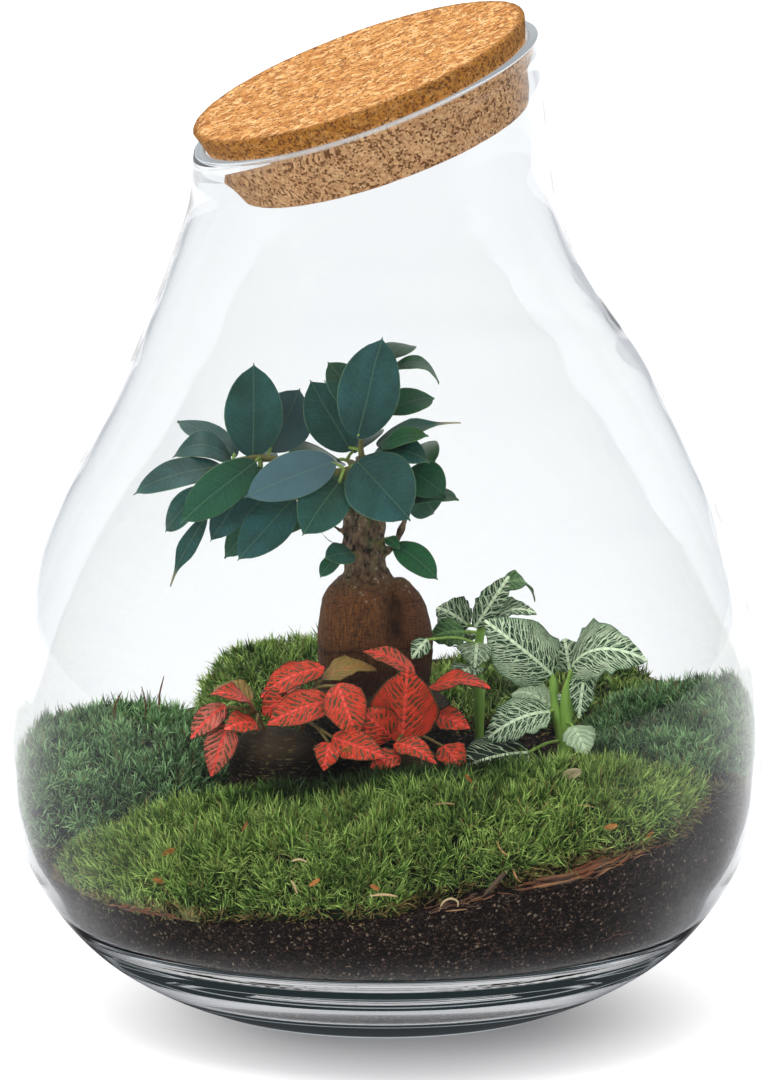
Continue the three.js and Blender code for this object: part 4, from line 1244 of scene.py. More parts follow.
def cushion_bed(shape, rows, columns, lower, seed):
    """Points of a cushion's surface, ring by ring from its rim to its middle."""
    turn = np.linspace(0, 2 * math.pi, columns, endpoint=False)
    share = np.concatenate([[1.01, 1.0, 0.995], np.cos(np.linspace(0.14, math.pi / 2 - 0.001, rows - 3))])
    rim = cushion_outline(shape, turn)
    edge = np.stack([rim * np.cos(turn), rim * np.sin(turn), 0 * turn], -1)
    bays = 2.4 + 2.6 * noise(edge, 16, seed + 7) + 1.5 * noise(edge, 7, seed + 8)
    for right, wide, deep in shape.get("notches", []):
        off = (shape["middle"][0] + edge[:, 0] - right) / wide
        bays = bays + deep * np.exp(-(off**2)) * (edge[:, 1] < 0)
    away = share[:, None] * (rim - np.clip(bays, 0, None))[None]
    u = shape["middle"][0] + away * np.cos(turn)
    d = shape["middle"][1] + away * np.sin(turn)
    dome = shape["height"] * np.sqrt(1 - np.clip(share, 0, 1) ** 3.2)[:, None]
    up = ground(u, d) + dome
    up[0] -= 9
    points = np.stack([u, d, up], -1)
    lumps = 1.6 * noise(points, 13, seed) + 0.9 * noise(points, 5, seed + 1)
    points[..., 2] += (lumps - lower) * np.clip(dome / 6, 0, 1)
    return held_in(points)


def held_in(points, gap=GAP):
    """Points kept off the glass."""
    points = points.copy()
    reach = np.hypot(points[..., 0], points[..., 1])
    limit = room_radius(points[..., 2]) - gap
    over = np.minimum(1, limit / np.maximum(reach, 1e-6))
    points[..., 0] *= over
    points[..., 1] *= over
    return points


def moss_material(name, tip, middle, foot):
    """Moss blades, pale at their tips and dark at their feet, no two of quite one green."""
    made, tree = new_material(name, 0.55, 0.3)
    up, pick, clump = kept_values(tree, "blade")
    thatch = blended(tree, up.ranged(0.1, 0.9), srgb(44, 32, 24), srgb(112, 84, 50))
    base = layered(
        tree, blended(tree, up.ranged(0.0, 0.5), foot, middle),
        ((up + clump * 0.6).ranged(0.6, 1.4), tip),
        # A low clump value turns a blade to its foot colour; the painted shade at the back of the front
        # cushion comes through it.
        (clump.ranged(0.45, 0.08, 0.0, 0.75), foot),
        (pick.ranged(0.955, 0.965, 0.0, 0.88), thatch),
    )
    bright = pick * 1.05 + 0.38
    shade = add(tree, "CombineColor", {0: bright, 1: bright, 2: bright})
    return finished(made, blended(tree, 1.0, base, shade, "MULTIPLY"))


def moss_blades(roots, axes, length, width, blades, rng):
    """Rosettes of bent blades, one from each root, as points, triangles and values."""
    count = len(roots)
    shape = (count, blades, 1)
    size = rng.uniform(0.75, 1.2, (count, 1, 1))
    long = length * size * rng.uniform(0.6, 1.15, shape)
    side = unit(np.cross(axes, rng.normal(size=(count, 3))))[:, None]
    axis = axes[:, None]
    turn = rng.uniform(0, 2 * math.pi, shape)
    out = side * np.cos(turn) + np.cross(axis, side) * np.sin(turn)
    flare = rng.uniform(0.15, 1.25, shape)
    start = roots[:, None] + out * rng.uniform(0, 1.2, shape) + axis * long * rng.uniform(0, 0.25, shape)
    bend = start + (axis * np.cos(flare * 0.35) + out * np.sin(flare * 0.35)) * long * 0.55
    tip = start + (axis * np.cos(flare) + out * np.sin(flare)) * long
    tip[..., 2] += 0.08 * length
    twist = rng.uniform(-0.9, 0.9, shape)
    flat = unit(np.cross(axis, out) * np.cos(twist) + (out + axis * 0.3) * np.sin(twist))
    rows = []
    for t, share in ((0.0, 0.45), (0.36, 1.0), (0.7, 0.72)):
        middle = start * (1 - t) ** 2 + bend * 2 * t * (1 - t) + tip * t**2
        rows += [middle - flat * share * width / 2, middle + flat * share * width / 2]
    points = np.stack([*rows, tip], 2).reshape(-1, 3)
    heights = [0.0, 0.0, 0.36, 0.36, 0.7, 0.7, 1.0]
    base = np.arange(count * blades)[:, None] * len(heights)
    corners = ([0, 1, 3], [0, 3, 2], [2, 3, 5], [2, 5, 4], [4, 5, 6])
    faces = np.concatenate([base + corner for corner in corners])
    up = np.tile(heights, count * blades)
    pick = np.repeat(rng.uniform(0, 1, count * blades), len(heights))
    clump = np.repeat(rng.uniform(0, 1, count), len(heights) * blades)
    return points, faces, np.stack([up, pick, clump], -1)


def moss_roots(shape, others, count, rng, seed):
    """Random roots on a cushion where it is the highest, with the way that they grow."""
    rows, columns = 60, 200
    bed = cushion_bed(shape, rows, columns, 0.0, seed)
    quads = grid_faces(rows, columns)[columns:]
    flat = bed.reshape(-1, 3)
    corners = flat[quads]
    normal = np.cross(corners[:, 2] - corners[:, 0], corners[:, 3] - corners[:, 1])
    area = np.linalg.norm(normal, axis=1)
    normal = unit(normal)
    normal *= np.sign(normal[:, 2:3] + 1e-9)
    chosen = rng.choice(len(quads), count, p=area / area.sum())
    s, t = rng.uniform(0, 1, (2, count, 1))
    picked = corners[chosen]
    near = picked[:, 0] * (1 - s) + picked[:, 1] * s
    far = picked[:, 3] * (1 - s) + picked[:, 2] * s
    roots = near * (1 - t) + far * t
    free = np.ones(count, bool)
    for other in others:
        free &= cushion_top(other, roots[:, 0], roots[:, 1]) < roots[:, 2] + 1
    for right, back, radius, _, top, _ in ROOT_BALLS.values():
        free &= (np.hypot(roots[:, 0] - right, roots[:, 1] - back) > radius - 1) | (roots[:, 2] > top)
    lean = np.stack([noise(roots, 11, seed + 5), noise(roots, 11, seed + 6), np.zeros(count)], -1)
    stray = rng.normal(size=(count, 3)) * 0.25
    axes = unit(normal[chosen] * 0.8 + np.array([0, 0, 0.45]) + lean * 0.6 + stray)
    return roots[free], axes[free]


def moss_shades(points, values, name, seed):
    """The blades' values with drifts of colour, shade behind the front cushion and brown feet."""
    drift = 0.5 + 0.5 * noise(points, 17, seed) + 0.35 * noise(points, 7, seed + 1)
    values[:, 2] = np.clip(0.5 * values[:, 2] + 0.5 * drift, 0, 1)
    if name == "front":
        # Painted shade at the back of the front cushion, where the red fittonias and their root balls shade
        # it.
        inward = points[:, 1] + 6 * noise(points, 9, seed + 8)
        near = smooth_step(-94, -76, inward) * smooth_step(74, 30, np.abs(points[:, 0] + 2))
        values *= 1 - np.multiply.outer(near, (0.4, 0.5, 0.85))
    above = points[:, 2] - ground(points[:, 0], points[:, 1])
    brown = 5.5 + 4.5 * noise(points, 19, seed + 2) + 2 * noise(points, 6, seed + 4)
    rim = (above < brown) & (values[:, 1] > 0.25)
    values[:, 1] = np.where(rim, 0.97 + 0.03 * values[:, 1], values[:, 1])
    return values


class TERRARIUM_OT_moss(bpy.types.Operator):
    """Lay the cushions of moss"""

    bl_idname = "terrarium.moss"
    bl_label = "Moss"

    def execute(self, context):
        _, given, _ = settings()
        bright, deep = tuple(given.bright_moss), tuple(given.deep_moss)
        materials = {
            "bright": moss_material("bright_moss", bright, srgb(82, 122, 48), srgb(18, 32, 12)),
            "deep": moss_material("deep_moss", deep, srgb(84, 128, 78), srgb(14, 28, 18)),
        }
        bed_rows, bed_columns = 34, 130
        for name, layer, count, blades, long, width, depth, green, seed in MOSS_LAYERS:
            rng = np.random.default_rng(seed)
            shape = CUSHIONS[name]
            bed_seed = 100 + list(CUSHIONS).index(name)
            others = [other for key, other in CUSHIONS.items() if key != name]
            roots, axes = moss_roots(shape, others, count, rng, bed_seed)
            roots = roots - axes * (depth + 1.6 * noise(roots, 6, seed + 3))[:, None]
            points, faces, values = moss_blades(roots, axes, given.blade / MM * long, width, blades, rng)
            parts = [(held_in(points, SOFT_GAP), faces, moss_shades(points, values, name, seed))]
            nodes = []
            if layer == "full":
                bed = cushion_bed(shape, bed_rows, bed_columns, BED_DEPTH, bed_seed)
                bed = held_in(bed, BED_INSET).reshape(-1, 3)
                dark = np.tile((0.0, 0.5, 0.0), (len(bed), 1))
                parts.append((bed, split(grid_faces(bed_rows, bed_columns)), dark))
                nodes = [f"moss_{name}"]
            points, faces, values = join(parts)
            label = f"moss_{name}_{layer}_shoots"
            piece = new_piece(label, place(points), faces, [materials[green]], data={"blade": values})
            finish(piece, "moss", *nodes)
        return {"FINISHED"}


# Ficus trunk


def bark_material():
    """Brown swollen root with fine upright fibres, painted shade in its cleft and waist groove, and a rough
    darker neck.
    """
    made, tree = new_material("ficus_bark", 0.6, 0.4)
    at = millimetres(tree)
    _, _, height = axes_of(tree, at)
    shaded_cleft, neck, lobe = kept_values(tree, "bark")
    fibres = mottle(millimetres(tree, (0.7, 0.7, 4.5)), 0.9, 2.8)
    creases = mottle(millimetres(tree, (3.4, 3.4, 0.6)), 1.0, 3.0)
    rough = mottle(millimetres(tree, (1, 1, 1.8)), 2.2, 3.6)
    speck = granules(at, 1.1, 0.3)
    rind = layered(
        tree, blended(tree, rough, srgb(24, 18, 15), srgb(150, 122, 94)),
        (mottle(at, 3.4, 3.0).ranged(0.66, 0.9, 0.0, 0.6), srgb(96, 108, 62)),
    )
    pale = speck["Grain"].ranged(0.93, 0.96) * height.ranged(156.0, 164.0, 0.0, 0.6)
    base = layered(
        tree, blended(tree, fibres, srgb(32, 19, 11), srgb(144, 91, 45)),
        (mottle(at, 8.0, 2.6) * 0.5, srgb(112, 66, 28)),
        (lobe * 0.5, srgb(98, 58, 40)),
        (creases.ranged(0.4, 0.1, 0.0, 0.7), srgb(30, 17, 12)),
        (height.ranged(117.0, 148.0, 0.8, 0.0), srgb(56, 27, 21)),
        (neck, rind),
        (pale * (1.0 - speck["Seam"]), srgb(196, 186, 164)),
        # Painted shade in the cleft between the lobes and in the groove round the waist.
        (shaded_cleft * 0.9, srgb(18, 11, 8)),
    )
    return finished(made, base, fibres + rough * neck + creases, 0.5)


def remeshed(points, faces):
    """Overlapping solids as one smoothed skin: its points, their normals and its triangles."""
    draft = new_piece("trunk_draft", points, faces, [])
    merged = draft.modifiers.new("remesh", "REMESH")
    merged.mode = "VOXEL"
    merged.voxel_size = TRUNK_VOXEL
    smoothed = draft.modifiers.new("smooth", "SMOOTH")
    smoothed.factor = 0.6
    smoothed.iterations = 7
    bpy.context.view_layer.update()
    shaped = draft.evaluated_get(bpy.context.evaluated_depsgraph_get())
    mesh = shaped.to_mesh()
    mesh.calc_loop_triangles()
    found = []
    for rows, key, kind in [
        (mesh.vertices, "co", np.float32), (mesh.vertices, "normal", np.float32),
        (mesh.loop_triangles, "vertices", np.int32),
    ]:
        values = np.empty(len(rows) * 3, kind)
        rows.foreach_get(key, values)
        found.append(values.reshape(-1, 3))
    shaped.to_mesh_clear()
    bpy.data.objects.remove(draft)
    return found


class TERRARIUM_OT_trunk(bpy.types.Operator):
    """Shape the swollen root and the neck of the ficus"""

    bl_idname = "terrarium.trunk"
    bl_label = "Ficus trunk"

    def execute(self, context):
        parts = []
        for rows in TRUNK_LOBES.values():
            fine = through(rows, 40)
            parts.append(tube(fine[:, :3], fine[:, 3], 40))
        for line, foot, end in TRUNK_STUBS:
            parts.append(tube(through(line, 12), np.linspace(foot, end, 12), 10))
        points, faces = join(parts)
        skin, normal, faces = remeshed(place(points), faces)
        at = planting(skin.astype(float))
        right, _, up = at.T
        neck = smooth_step(160, 174, up)
        fibres = noise(at, (0.9, 0.9, 6), 21)
        cracks = np.abs(noise(at, (2.6, 2.6, 9), 22))
        rings = noise(at * np.array([0.2, 0.2, 1]), 2.2, 23)
        wander = right - CLEFT["right"] - 1.8 * noise(at, 6, 26)
        within = smooth_step(CLEFT["low"] - 3, CLEFT["low"] + 3, up)
        within = within * smooth_step(CLEFT["high"] + 3, CLEFT["high"] - 3, up)
        # The cleft and the waist groove are sunk, and they carry painted shade.
        shaded_cleft = np.exp(-((wander / CLEFT["width"]) ** 2)) * within * (0.6 + 0.3 * noise(at, 3, 28))
        shaded_waist = np.exp(-(((up - WAIST - 1.2 * noise(at, 6, 27)) / 0.8) ** 2))
        shaded_waist = shaded_waist * (1 - 0.5 * smooth_step(0, 8, right))
        push = (1 - neck) * (0.22 * fibres + 0.6 * noise(at, 11, 24) + 0.14 * rings)
        push += neck * (1.5 * cracks - 0.9 + 0.5 * noise(at, 3, 25))
        push -= 0.8 * shaded_cleft + 0.45 * shaded_waist
        shape = skin + normal * push[:, None] * MM
        lobe = smooth_step(3, 7, right) * (1 - neck)
        values = np.stack([np.maximum(shaded_cleft, 0.7 * shaded_waist), neck, lobe], -1)
        piece = new_piece("ficus_swollen_root", shape, faces, [bark_material()], data={"bark": values})
        finish(piece, "ficus_bark", "ficus_trunk")
        return {"FINISHED"}


# Leaves


def leaf_normal(base, tip, lean):
    """The way a leaf's face looks."""
    axis = unit(tip - base)
    face = np.array([0, -lean, 1.05 - abs(lean)])
    return unit(face - axis * (face @ axis))


def leaf_blade(base, tip, width, lean, arch, tone, style, rng):
    """A closed thin blade: points, triangles, leaf values and flat coordinates."""
    rows, columns = style["rows"] + 1, style["columns"] + 1
    t = (1 - np.cos(np.linspace(0.04, math.pi, rows)))[:, None] / 2
    s = np.sin(np.linspace(-math.pi / 2, math.pi / 2, columns))[None, :]
    normal = leaf_normal(base, tip, lean)
    axis = tip - base
    length = np.linalg.norm(axis)
    side = np.cross(axis / length, normal)
    oval = np.clip(t / style["oval"], 0, 1)
    taper = np.clip(np.sin(math.pi * oval ** style["fullest"]), 0, 1) ** style["blunt"]
    taper = taper * (1 - style["point"] * smooth_step(0.8, 0.99, t))
    taper = taper * (1 - 0.84 * (tone > DRY_TONE) * smooth_step(0.42, 0.82, t))
    taper = np.maximum(taper, 0.7 * np.clip(1 - t, 0, 0.08) * (t > 0.5)) + 0.012
    pick = rng.uniform(0, 1)
    ragged = np.sin(t * length * 2.1 + pick * 9) + 0.8 * np.sin(t * length * 4.9 + pick * 31 + np.sign(s))
    half = width / 2 * taper * (1 + style["teeth"] * ragged * np.abs(s) ** 3)
    phase = pick * 6
    ripple = style["wave"] * (np.abs(s) ** 2) * np.sin(9 * t + 2.2 * s) * taper
    frill = np.sin(26 * t + phase + 1.7 * np.sign(s))
    ripple = ripple + 0.3 * style["wave"] * (np.abs(s) ** 3) * frill * taper
    bend = 0.05 * width * np.sin(2.2 * t + phase) * s
    lift = style["fold"] * half * (np.sqrt(s**2 + 0.02) - 0.12) + ripple + bend * 0.4
    lift = lift + arch * 4 * t * (1 - t) - style["curl"] * length * np.clip(t - 0.55, 0, 1) ** 2 * 2.2
    surface = base + axis * t[..., None] + side * (s * half)[..., None] + normal * lift[..., None]
    thick = (0.22 + 0.35 * np.exp(-((s * half) ** 2) / 0.5)) * np.ones_like(half)
    upper, under = surface + normal * 0.16, surface - normal * thick[..., None]
    points, faces = closed_sheet(upper, under, rows, columns)
    wide = np.broadcast_to(s, half.shape)
    long = np.broadcast_to(t, half.shape)
    leaf = np.stack([np.abs(wide), long, np.full(half.shape, tone)], -1).reshape(-1, 3)
    flat = np.stack([wide * half, long * length, np.full(half.shape, round(39 * pick))], -1).reshape(-1, 3)
    below = flat + np.array([0, 0, UNDERSIDE])
    return points, faces, np.concatenate([leaf, leaf]), np.concatenate([flat, below])


def stalk(foot, base, normal):
    """A slightly bowed stalk from its stem to its leaf."""
    bow = (foot + base) / 2 + normal * 0.12 * np.linalg.norm(base - foot)
    return tube(through([foot, bow, base], 8), np.linspace(0.75, 0.6, 8), 6)


def spray(name, plan, style, materials, slot, node, seed):
    """One leafy stem as one piece, its leaves first and then its stems."""
    rng = np.random.default_rng(seed)
    leaves, stems, spots = [], [], []
    for radius, points in plan["stems"]:
        line = through(points, 10 * len(points))
        thin = np.linspace(radius, max(0.7, 0.65 * radius), len(line))
        thin[-4:] *= (0.96, 0.84, 0.6, 0.2)
        knots = 1 + 0.12 * np.sin(np.linspace(0, 5.5 * math.pi, len(line)))
        branch, faces = tube(line, thin * knots, 10)
        stems.append((branch, faces, np.tile((0.0, 0.0, 1.0), (len(branch), 1))))
        places = through(points, 31)[1:-1]
        spots.append(places[places[:, 2] > plan.get("bark_to", 0)])
    spots = np.concatenate(spots)
    for row in plan["leaves"]:
        base, tip = np.array(row[:3], float), np.array(row[3:6], float)
        width, lean, arch, tone = row[6:]
        nearest = spots[np.argmin(np.linalg.norm(spots - base, axis=1))]
        if np.linalg.norm(nearest - base) > STALKED_FROM:
            thread, faces = stalk(nearest, base + (tip - base) * 0.04, leaf_normal(base, tip, lean))
            stems.append((thread, faces, np.zeros((len(thread), 3))))
        else:
            base = nearest
        leaves.append(leaf_blade(base, tip, width, lean, arch, tone, style, rng))
    green, woody = join(leaves), join(stems)
    points, faces, leaf, flat = join([green, [*woody, np.zeros((len(woody[0]), 3))]])
    picks = np.concatenate([np.zeros(len(green[1])), np.ones(len(woody[1]))])
    piece = new_piece(name, place(points), faces, materials, picks, {"leaf": leaf, "flat": flat})
    return finish(piece, slot, node)


def grow(sprays, plant, nodes, style, leaf_material, stalk_colours, slot, seed):
    """The leafy stems of one kind of plant, a piece each."""
    materials = [leaf_material(), stalk_material(f"{plant}_stalk", *stalk_colours)]
    for k, (key, plan) in enumerate(sprays.items()):
        spray(f"{plant}_spray_{key}", plan, style, materials, slot, f"{nodes}_{key}", seed + k)


def leaf_inputs(tree):
    """The leaf's own values: out from the midrib, along, tone, the flat blade and its underside."""
    out, along, tone = kept_values(tree, "leaf")
    flat = add(tree, "Attribute", output="Vector", attribute_name="flat")
    under = axes_of(tree, flat)[2].maths("GREATER_THAN", UNDERSIDE / 2)
    return out, along, tone, flat, under


def ficus_leaf_material():
    """Leathery dark leaf with a thin pale edge, a faint midrib, a dry tip on a few leaves and a painted
    bluish sheen on two.
    """
    _, _, plants = settings()
    made, tree = new_material("ficus_leaf", 0.36, 0.45, Coat_Weight=0.12, Coat_Roughness=0.3)
    out, along, tone, flat, under = leaf_inputs(tree)
    fresh = tone.maths("MAXIMUM", 0.0).maths("FRACT")
    dry = tone.maths("GREATER_THAN", DRY_TONE) * along.ranged(0.7, 0.92, 0.0, 0.85)
    veins = leaf_veins(flat, Spacing=2.6, Sweep=0.45, Fork=99.0, Vein=0.07, Midrib=0.12)
    at = millimetres(tree)
    cloud = mottle(at, 11.0, 3.0)
    base = layered(
        tree, blended(tree, fresh, tuple(plants.ficus), tuple(plants.ficus_fresh)),
        (cloud * (1.0 - fresh) * 0.6, srgb(52, 108, 108)),
        (along.ranged(0.35, 0.0, 0.0, 0.45), srgb(20, 44, 42)),
        (mottle(at, 0.6, 2.4, 1.0) * 0.45, srgb(20, 46, 42)),
        (out.ranged(0.5, 0.0, 0.0, 0.3), srgb(24, 48, 46)),
        # Painted sheen: leaves of tone below -0.1 are blended to a pale blue-grey.
        (tone.ranged(-0.1, -0.5, 0.0, 0.55), srgb(84, 112, 124)),
        (veins["Veins"] * 0.1, srgb(90, 130, 108)),
        (veins["Midrib"] * 0.16, srgb(112, 150, 96)),
        (out.ranged(0.95, 0.995, 0.0, 0.38), srgb(120, 150, 104)),
        (under * 0.3, srgb(74, 108, 60)),
        (dry, srgb(168, 158, 122)),
    )
    return finished(made, base, cloud * 0.2 - veins["Veins"] * 0.25, 0.3)


def red_leaf_material():
    """Coral veins with fine dark dashes between them and a thin green edge."""
    _, _, plants = settings()
    made, tree = new_material("red_fittonia_leaf", 0.5, 0.4)
    out, _, tone, flat, under = leaf_inputs(tree)
    veins = leaf_veins(flat, Spacing=2.8, Sweep=1.1, Fork=4.2, Vein=0.7, Midrib=0.4, Net=0.4)
    whole = mottle(flat, 2.6, 4.0).ranged(0.5, 0.75, 0.0, 0.9)
    vein = layered(
        tree, tuple(plants.red_vein),
        (tone.ranged(0.4, 0.9, 0.0, 0.7), srgb(196, 122, 108)),
        (mottle(millimetres(tree), 5.0, 2.2) * 0.4, srgb(204, 68, 34)),
    )
    base = layered(
        tree, tuple(plants.red_gap),
        (veins["Veins"].maths("MAXIMUM", whole), vein),
        (veins["Midrib"], srgb(222, 70, 56)),
        (out.ranged(0.88, 0.98, 0.0, 0.85), srgb(44, 62, 32)),
        (tone.ranged(0.9, 1.0, 0.0, 0.75), srgb(126, 116, 50)),
        (under * 0.5, srgb(140, 96, 74)),
    )
    return finished(made, base, veins["Height"], 0.7)


def white_leaf_material():
    """Deep green between forking pale veins; a young leaf is plainer, and the low leaf of tone 0.25 has
    painted shade, nearly black, between its veins.
    """
    _, _, plants = settings()
    made, tree = new_material("white_fittonia_leaf", 0.48, 0.4)
    out, _, tone, flat, under = leaf_inputs(tree)
    # The low leaf of tone 0.25, with sparser veins and painted shade.
    dark = tone.maths("COMPARE", 0.25, 0.06)
    young = tone.maths("COMPARE", 0.5, 0.06)
    veins = leaf_veins(
        flat, Spacing=dark * 1.6 + 3.1, Sweep=0.95, Fork=3.0,
        Vein=0.34 - dark * 0.15, Midrib=0.5, Net=0.7 - dark * 0.7,
    )
    gap = layered(
        tree, tuple(plants.white_gap),
        (mottle(millimetres(tree), 6.0, 2.0) * 0.6, srgb(36, 78, 42)),
        # Painted shade: the low leaf lies in shadow, so its gaps are darkened nearly black.
        (dark * 0.75, srgb(16, 30, 24)),
        (young, srgb(52, 90, 46)),
    )
    vein = layered(
        tree, tuple(plants.white_vein),
        (out.ranged(0.6, 1.0, 0.0, 0.6), srgb(156, 192, 146)),
        (young, srgb(112, 152, 90)),
    )
    base = layered(
        tree, gap,
        (veins["Veins"], vein),
        (out.ranged(0.94, 0.99, 0.0, 0.6), srgb(40, 84, 48)),
        (tone.ranged(0.6, 0.9, 0.0, 0.75), srgb(184, 206, 166)),
        (under * 0.7, srgb(158, 184, 142)),
    )
    return finished(made, base, veins["Height"], 0.9)


def stalk_material(name, pale, dark, branch):
    """Soft green leaf stalks, on a branch of its own colour."""
    made, tree = new_material(name, 0.5, 0.4)
    cloud = mottle(millimetres(tree, (1, 1, 3)), 1.6, 2.4)
    _, _, woody = kept_values(tree, "leaf")
    base = layered(tree, blended(tree, cloud, pale, dark), (woody * 0.8, branch))
    return finished(made, base, cloud, 0.2)


class TERRARIUM_OT_ficus(bpy.types.Operator):
    """Grow the sprays of the ficus"""

    bl_idname = "terrarium.ficus"
    bl_label = "Ficus leaves"

    def execute(self, context):
        greens = srgb(140, 172, 84), srgb(104, 122, 60), srgb(98, 84, 52)
        leaf = ficus_leaf_material
        grow(FICUS_SPRAYS, "ficus", "ficus_shoot", FICUS_BLADE, leaf, greens, "ficus_leaf", 200)
        return {"FINISHED"}


class TERRARIUM_OT_red_fittonia(bpy.types.Operator):
    """Grow the red fittonias"""

    bl_idname = "terrarium.red_fittonia"
    bl_label = "Red fittonia"

    def execute(self, context):
        browns = srgb(128, 120, 62), srgb(96, 66, 40), srgb(104, 78, 46)
        plant = "red_fittonia"
        grow(RED_SPRAYS, plant, plant, RED_BLADE, red_leaf_material, browns, "red_leaf", 300)
        return {"FINISHED"}


class TERRARIUM_OT_white_fittonia(bpy.types.Operator):
    """Grow the white fittonias"""

    bl_idname = "terrarium.white_fittonia"
    bl_label = "White fittonia"

    def execute(self, context):
        greens = srgb(166, 196, 92), srgb(116, 158, 70), srgb(128, 168, 74)
        plant = "white_fittonia"
        grow(WHITE_SPRAYS, plant, plant, WHITE_BLADE, white_leaf_material, greens, "white_leaf", 400)
        return {"FINISHED"}


# Stage


def front_mask(tree, where, low=0.1, high=0.98):
    """1 in the directions of the viewer's side of the jar, 0 past the higher of two depths."""
    direction = vectors(tree, "NORMALIZE", vectors(tree, "MULTIPLY", where, (1, 1, 0)))
    depth = vectors(tree, "DOT_PRODUCT", direction, TO_BACK, output="Value")
    return depth.ranged(low, high, 1.0, 0.0)


def darkened(tree, where):
    """1 where the glass mirrors the viewer's side, and 0 for a ray that has crossed the whole jar."""
    path = wires(tree, tree.nodes.new("ShaderNodeLightPath"))
    walls = path["Transmission Depth"] - path["Glossy Depth"] * 4.0
    return path["Is Glossy Ray"] * walls.maths("LESS_THAN", 3.5) * front_mask(tree, where)


def floor_material():
    """Pale floor that glows white with distance, dimmed in a painted shadow near the jar; it shows only
    darkly in the front of the glass, and through the glass it shows a painted bright glow without shadow.
    """
    pale = (0.6, 0.6, 0.61, 1)
    made, tree = new_material("pale_floor", 0.9, 0.0, Base_Color=pale, Emission_Strength=1.0)
    where = add(tree, "TexCoord", output="Object")
    turned = add(tree, "VectorRotate", {"Vector": where, "Angle": -PLANTING_TURN}, rotation_type="Z_AXIS")
    shifted = vectors(tree, "ADD", turned, (-0.01, 0.055, 0))
    shadow = vectors(tree, "LENGTH", vectors(tree, "MULTIPLY", shifted, (10, 9.5, 0)), output="Value")
    glow = blended(tree, shadow.ranged(0.35, 1.55), (0.13, 0.13, 0.135, 1), (0.82, 0.82, 0.82, 1))
    feed(tree, shader_of(made).inputs["Emission Color"], glow)
    dim = add(tree, "Emission", {"Color": (0.06, 0.06, 0.065, 1)})
    # Painted light: through the glass, behind and under the jar, the floor glows bright and shadowless.
    bright = add(tree, "Emission", {"Color": (0.96, 0.97, 1.0, 1)})
    away = vectors(tree, "LENGTH", where, output="Value")
    in_front = front_mask(tree, where, -0.75, 0.0) * away.ranged(0.125, 0.155)
    painted_glow_through_glass = add(tree, "LightPath", output="Is Transmission Ray") * ((1.0 - in_front) * 0.75)
    return covered(made, (darkened(tree, where), dim), (painted_glow_through_glass, bright))


def studio_world():
    """A white room, a little grey around the horizon and dark in the front of the glass."""
    world = bpy.data.worlds.new("studio")
    world.use_nodes = True
    tree = world.node_tree
    looking = add(tree, "TexCoord", output="Generated")
    _, _, rise = axes_of(tree, looking)
    shade = layered(
        tree, (0.72, 0.75, 0.8, 1),
        (abs(rise).ranged(0.02, 0.35), (1, 1, 1, 1)),
        (darkened(tree, looking), (0.09, 0.095, 0.105, 1)),
    )
    background = tree.nodes["Background"]
    feed(tree, background.inputs[0], shade)
    background.inputs[1].default_value = 0.8
    return world


def looking_at(name, data, eye, target):
    """A lamp or a camera at one point that looks at another."""
    made = bpy.data.objects.new(name, data)
    made.location = eye
    made.rotation_euler = Vector(target - np.array(made.location)).to_track_quat("-Z", "Y").to_euler()
    bpy.context.scene.collection.objects.link(made)
    return made


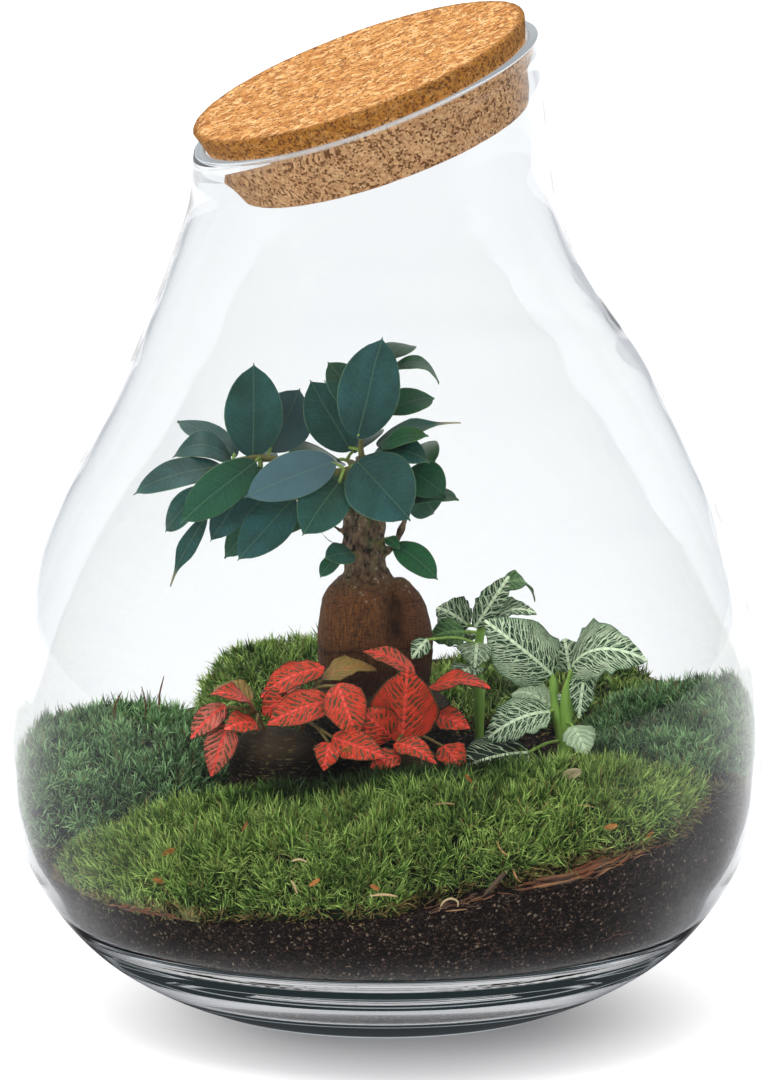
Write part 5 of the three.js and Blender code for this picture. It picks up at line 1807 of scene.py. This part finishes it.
class TERRARIUM_OT_stage(bpy.types.Operator):
    """Set the floor, the lights and the camera"""

    bl_idname = "terrarium.stage"
    bl_label = "Stage"

    def execute(self, context):
        scene = bpy.context.scene
        corners = [(x * FLOOR_HALF, y * FLOOR_HALF, FLOOR_LEVEL) for x, y in ((-1, -1), (1, -1),
        (1, 1), (-1, 1))]
        new_piece("floor", np.array(corners), [(0, 1, 2, 3)], [floor_material()])
        scene.world = studio_world()
        right = np.array([math.cos(PLANTING_TURN), math.sin(PLANTING_TURN), 0])
        back = np.array(TO_BACK)
        up = np.array([0, 0, 1.0])
        for name, (u, d, z), size, power, reflected in LAMPS:
            light = bpy.data.lights.new(name, "AREA")
            light.shape = "SQUARE"
            light.size = size
            light.energy = power
            lamp = looking_at(name, light, right * u + back * d + up * z, up * LAMP_AIM)
            lamp.visible_glossy = reflected
            lamp.visible_transmission = False
        camera = bpy.data.cameras.new("camera")
        camera.sensor_fit = "VERTICAL"
        camera.sensor_height = 36
        camera.lens = CAMERA["lens"]
        camera.clip_end = 60
        rise = math.radians(CAMERA["rise"])
        target = up * CAMERA["aim"]
        eye = target - back * CAMERA["away"] * math.cos(rise) + up * CAMERA["away"] * math.sin(rise)
        scene.camera = looking_at("camera", camera, eye, target)
        scene.view_settings.view_transform = "Standard"
        scene.cycles.use_denoising = True
        for kind, most in BOUNCES.items():
            setattr(scene.cycles, f"{kind}_bounces", most)
        scene.cycles.caustics_reflective = False
        scene.cycles.caustics_refractive = False
        return {"FINISHED"}


class TERRARIUM_PT_panel(bpy.types.Panel):
    """Lists the pieces"""

    bl_idname = "TERRARIUM_PT_panel"
    bl_label = "Terrarium"
    bl_space_type = "VIEW_3D"
    bl_region_type = "UI"
    bl_category = "Terrarium"

    def draw(self, context):
        for operator in OPERATORS:
            self.layout.operator(operator.bl_idname)


OPERATORS = (
    TERRARIUM_OT_stage,
    TERRARIUM_OT_jar,
    TERRARIUM_OT_cork,
    TERRARIUM_OT_soil,
    TERRARIUM_OT_root_balls,
    TERRARIUM_OT_moss,
    TERRARIUM_OT_litter,
    TERRARIUM_OT_trunk,
    TERRARIUM_OT_ficus,
    TERRARIUM_OT_red_fittonia,
    TERRARIUM_OT_white_fittonia,
)
SETTINGS = {
    "terrarium_glass": TerrariumGlass,
    "terrarium_ground": TerrariumGround,
    "terrarium_plants": TerrariumPlants,
}


def register():
    """Makes the operators, the panel and the settings known."""
    for kind in (*SETTINGS.values(), *OPERATORS, TERRARIUM_PT_panel):
        bpy.utils.register_class(kind)
    for name, kind in SETTINGS.items():
        setattr(bpy.types.Scene, name, bpy.props.PointerProperty(type=kind))


def unregister():
    """Takes them away again."""
    for name in SETTINGS:
        delattr(bpy.types.Scene, name)
    for kind in reversed((*SETTINGS.values(), *OPERATORS, TERRARIUM_PT_panel)):
        bpy.utils.unregister_class(kind)


def main():
    """Builds every piece."""
    register()
    for operator in OPERATORS:
        group, name = operator.bl_idname.split(".")
        getattr(getattr(bpy.ops, group), name)()


if __name__ == "__main__":
    main()
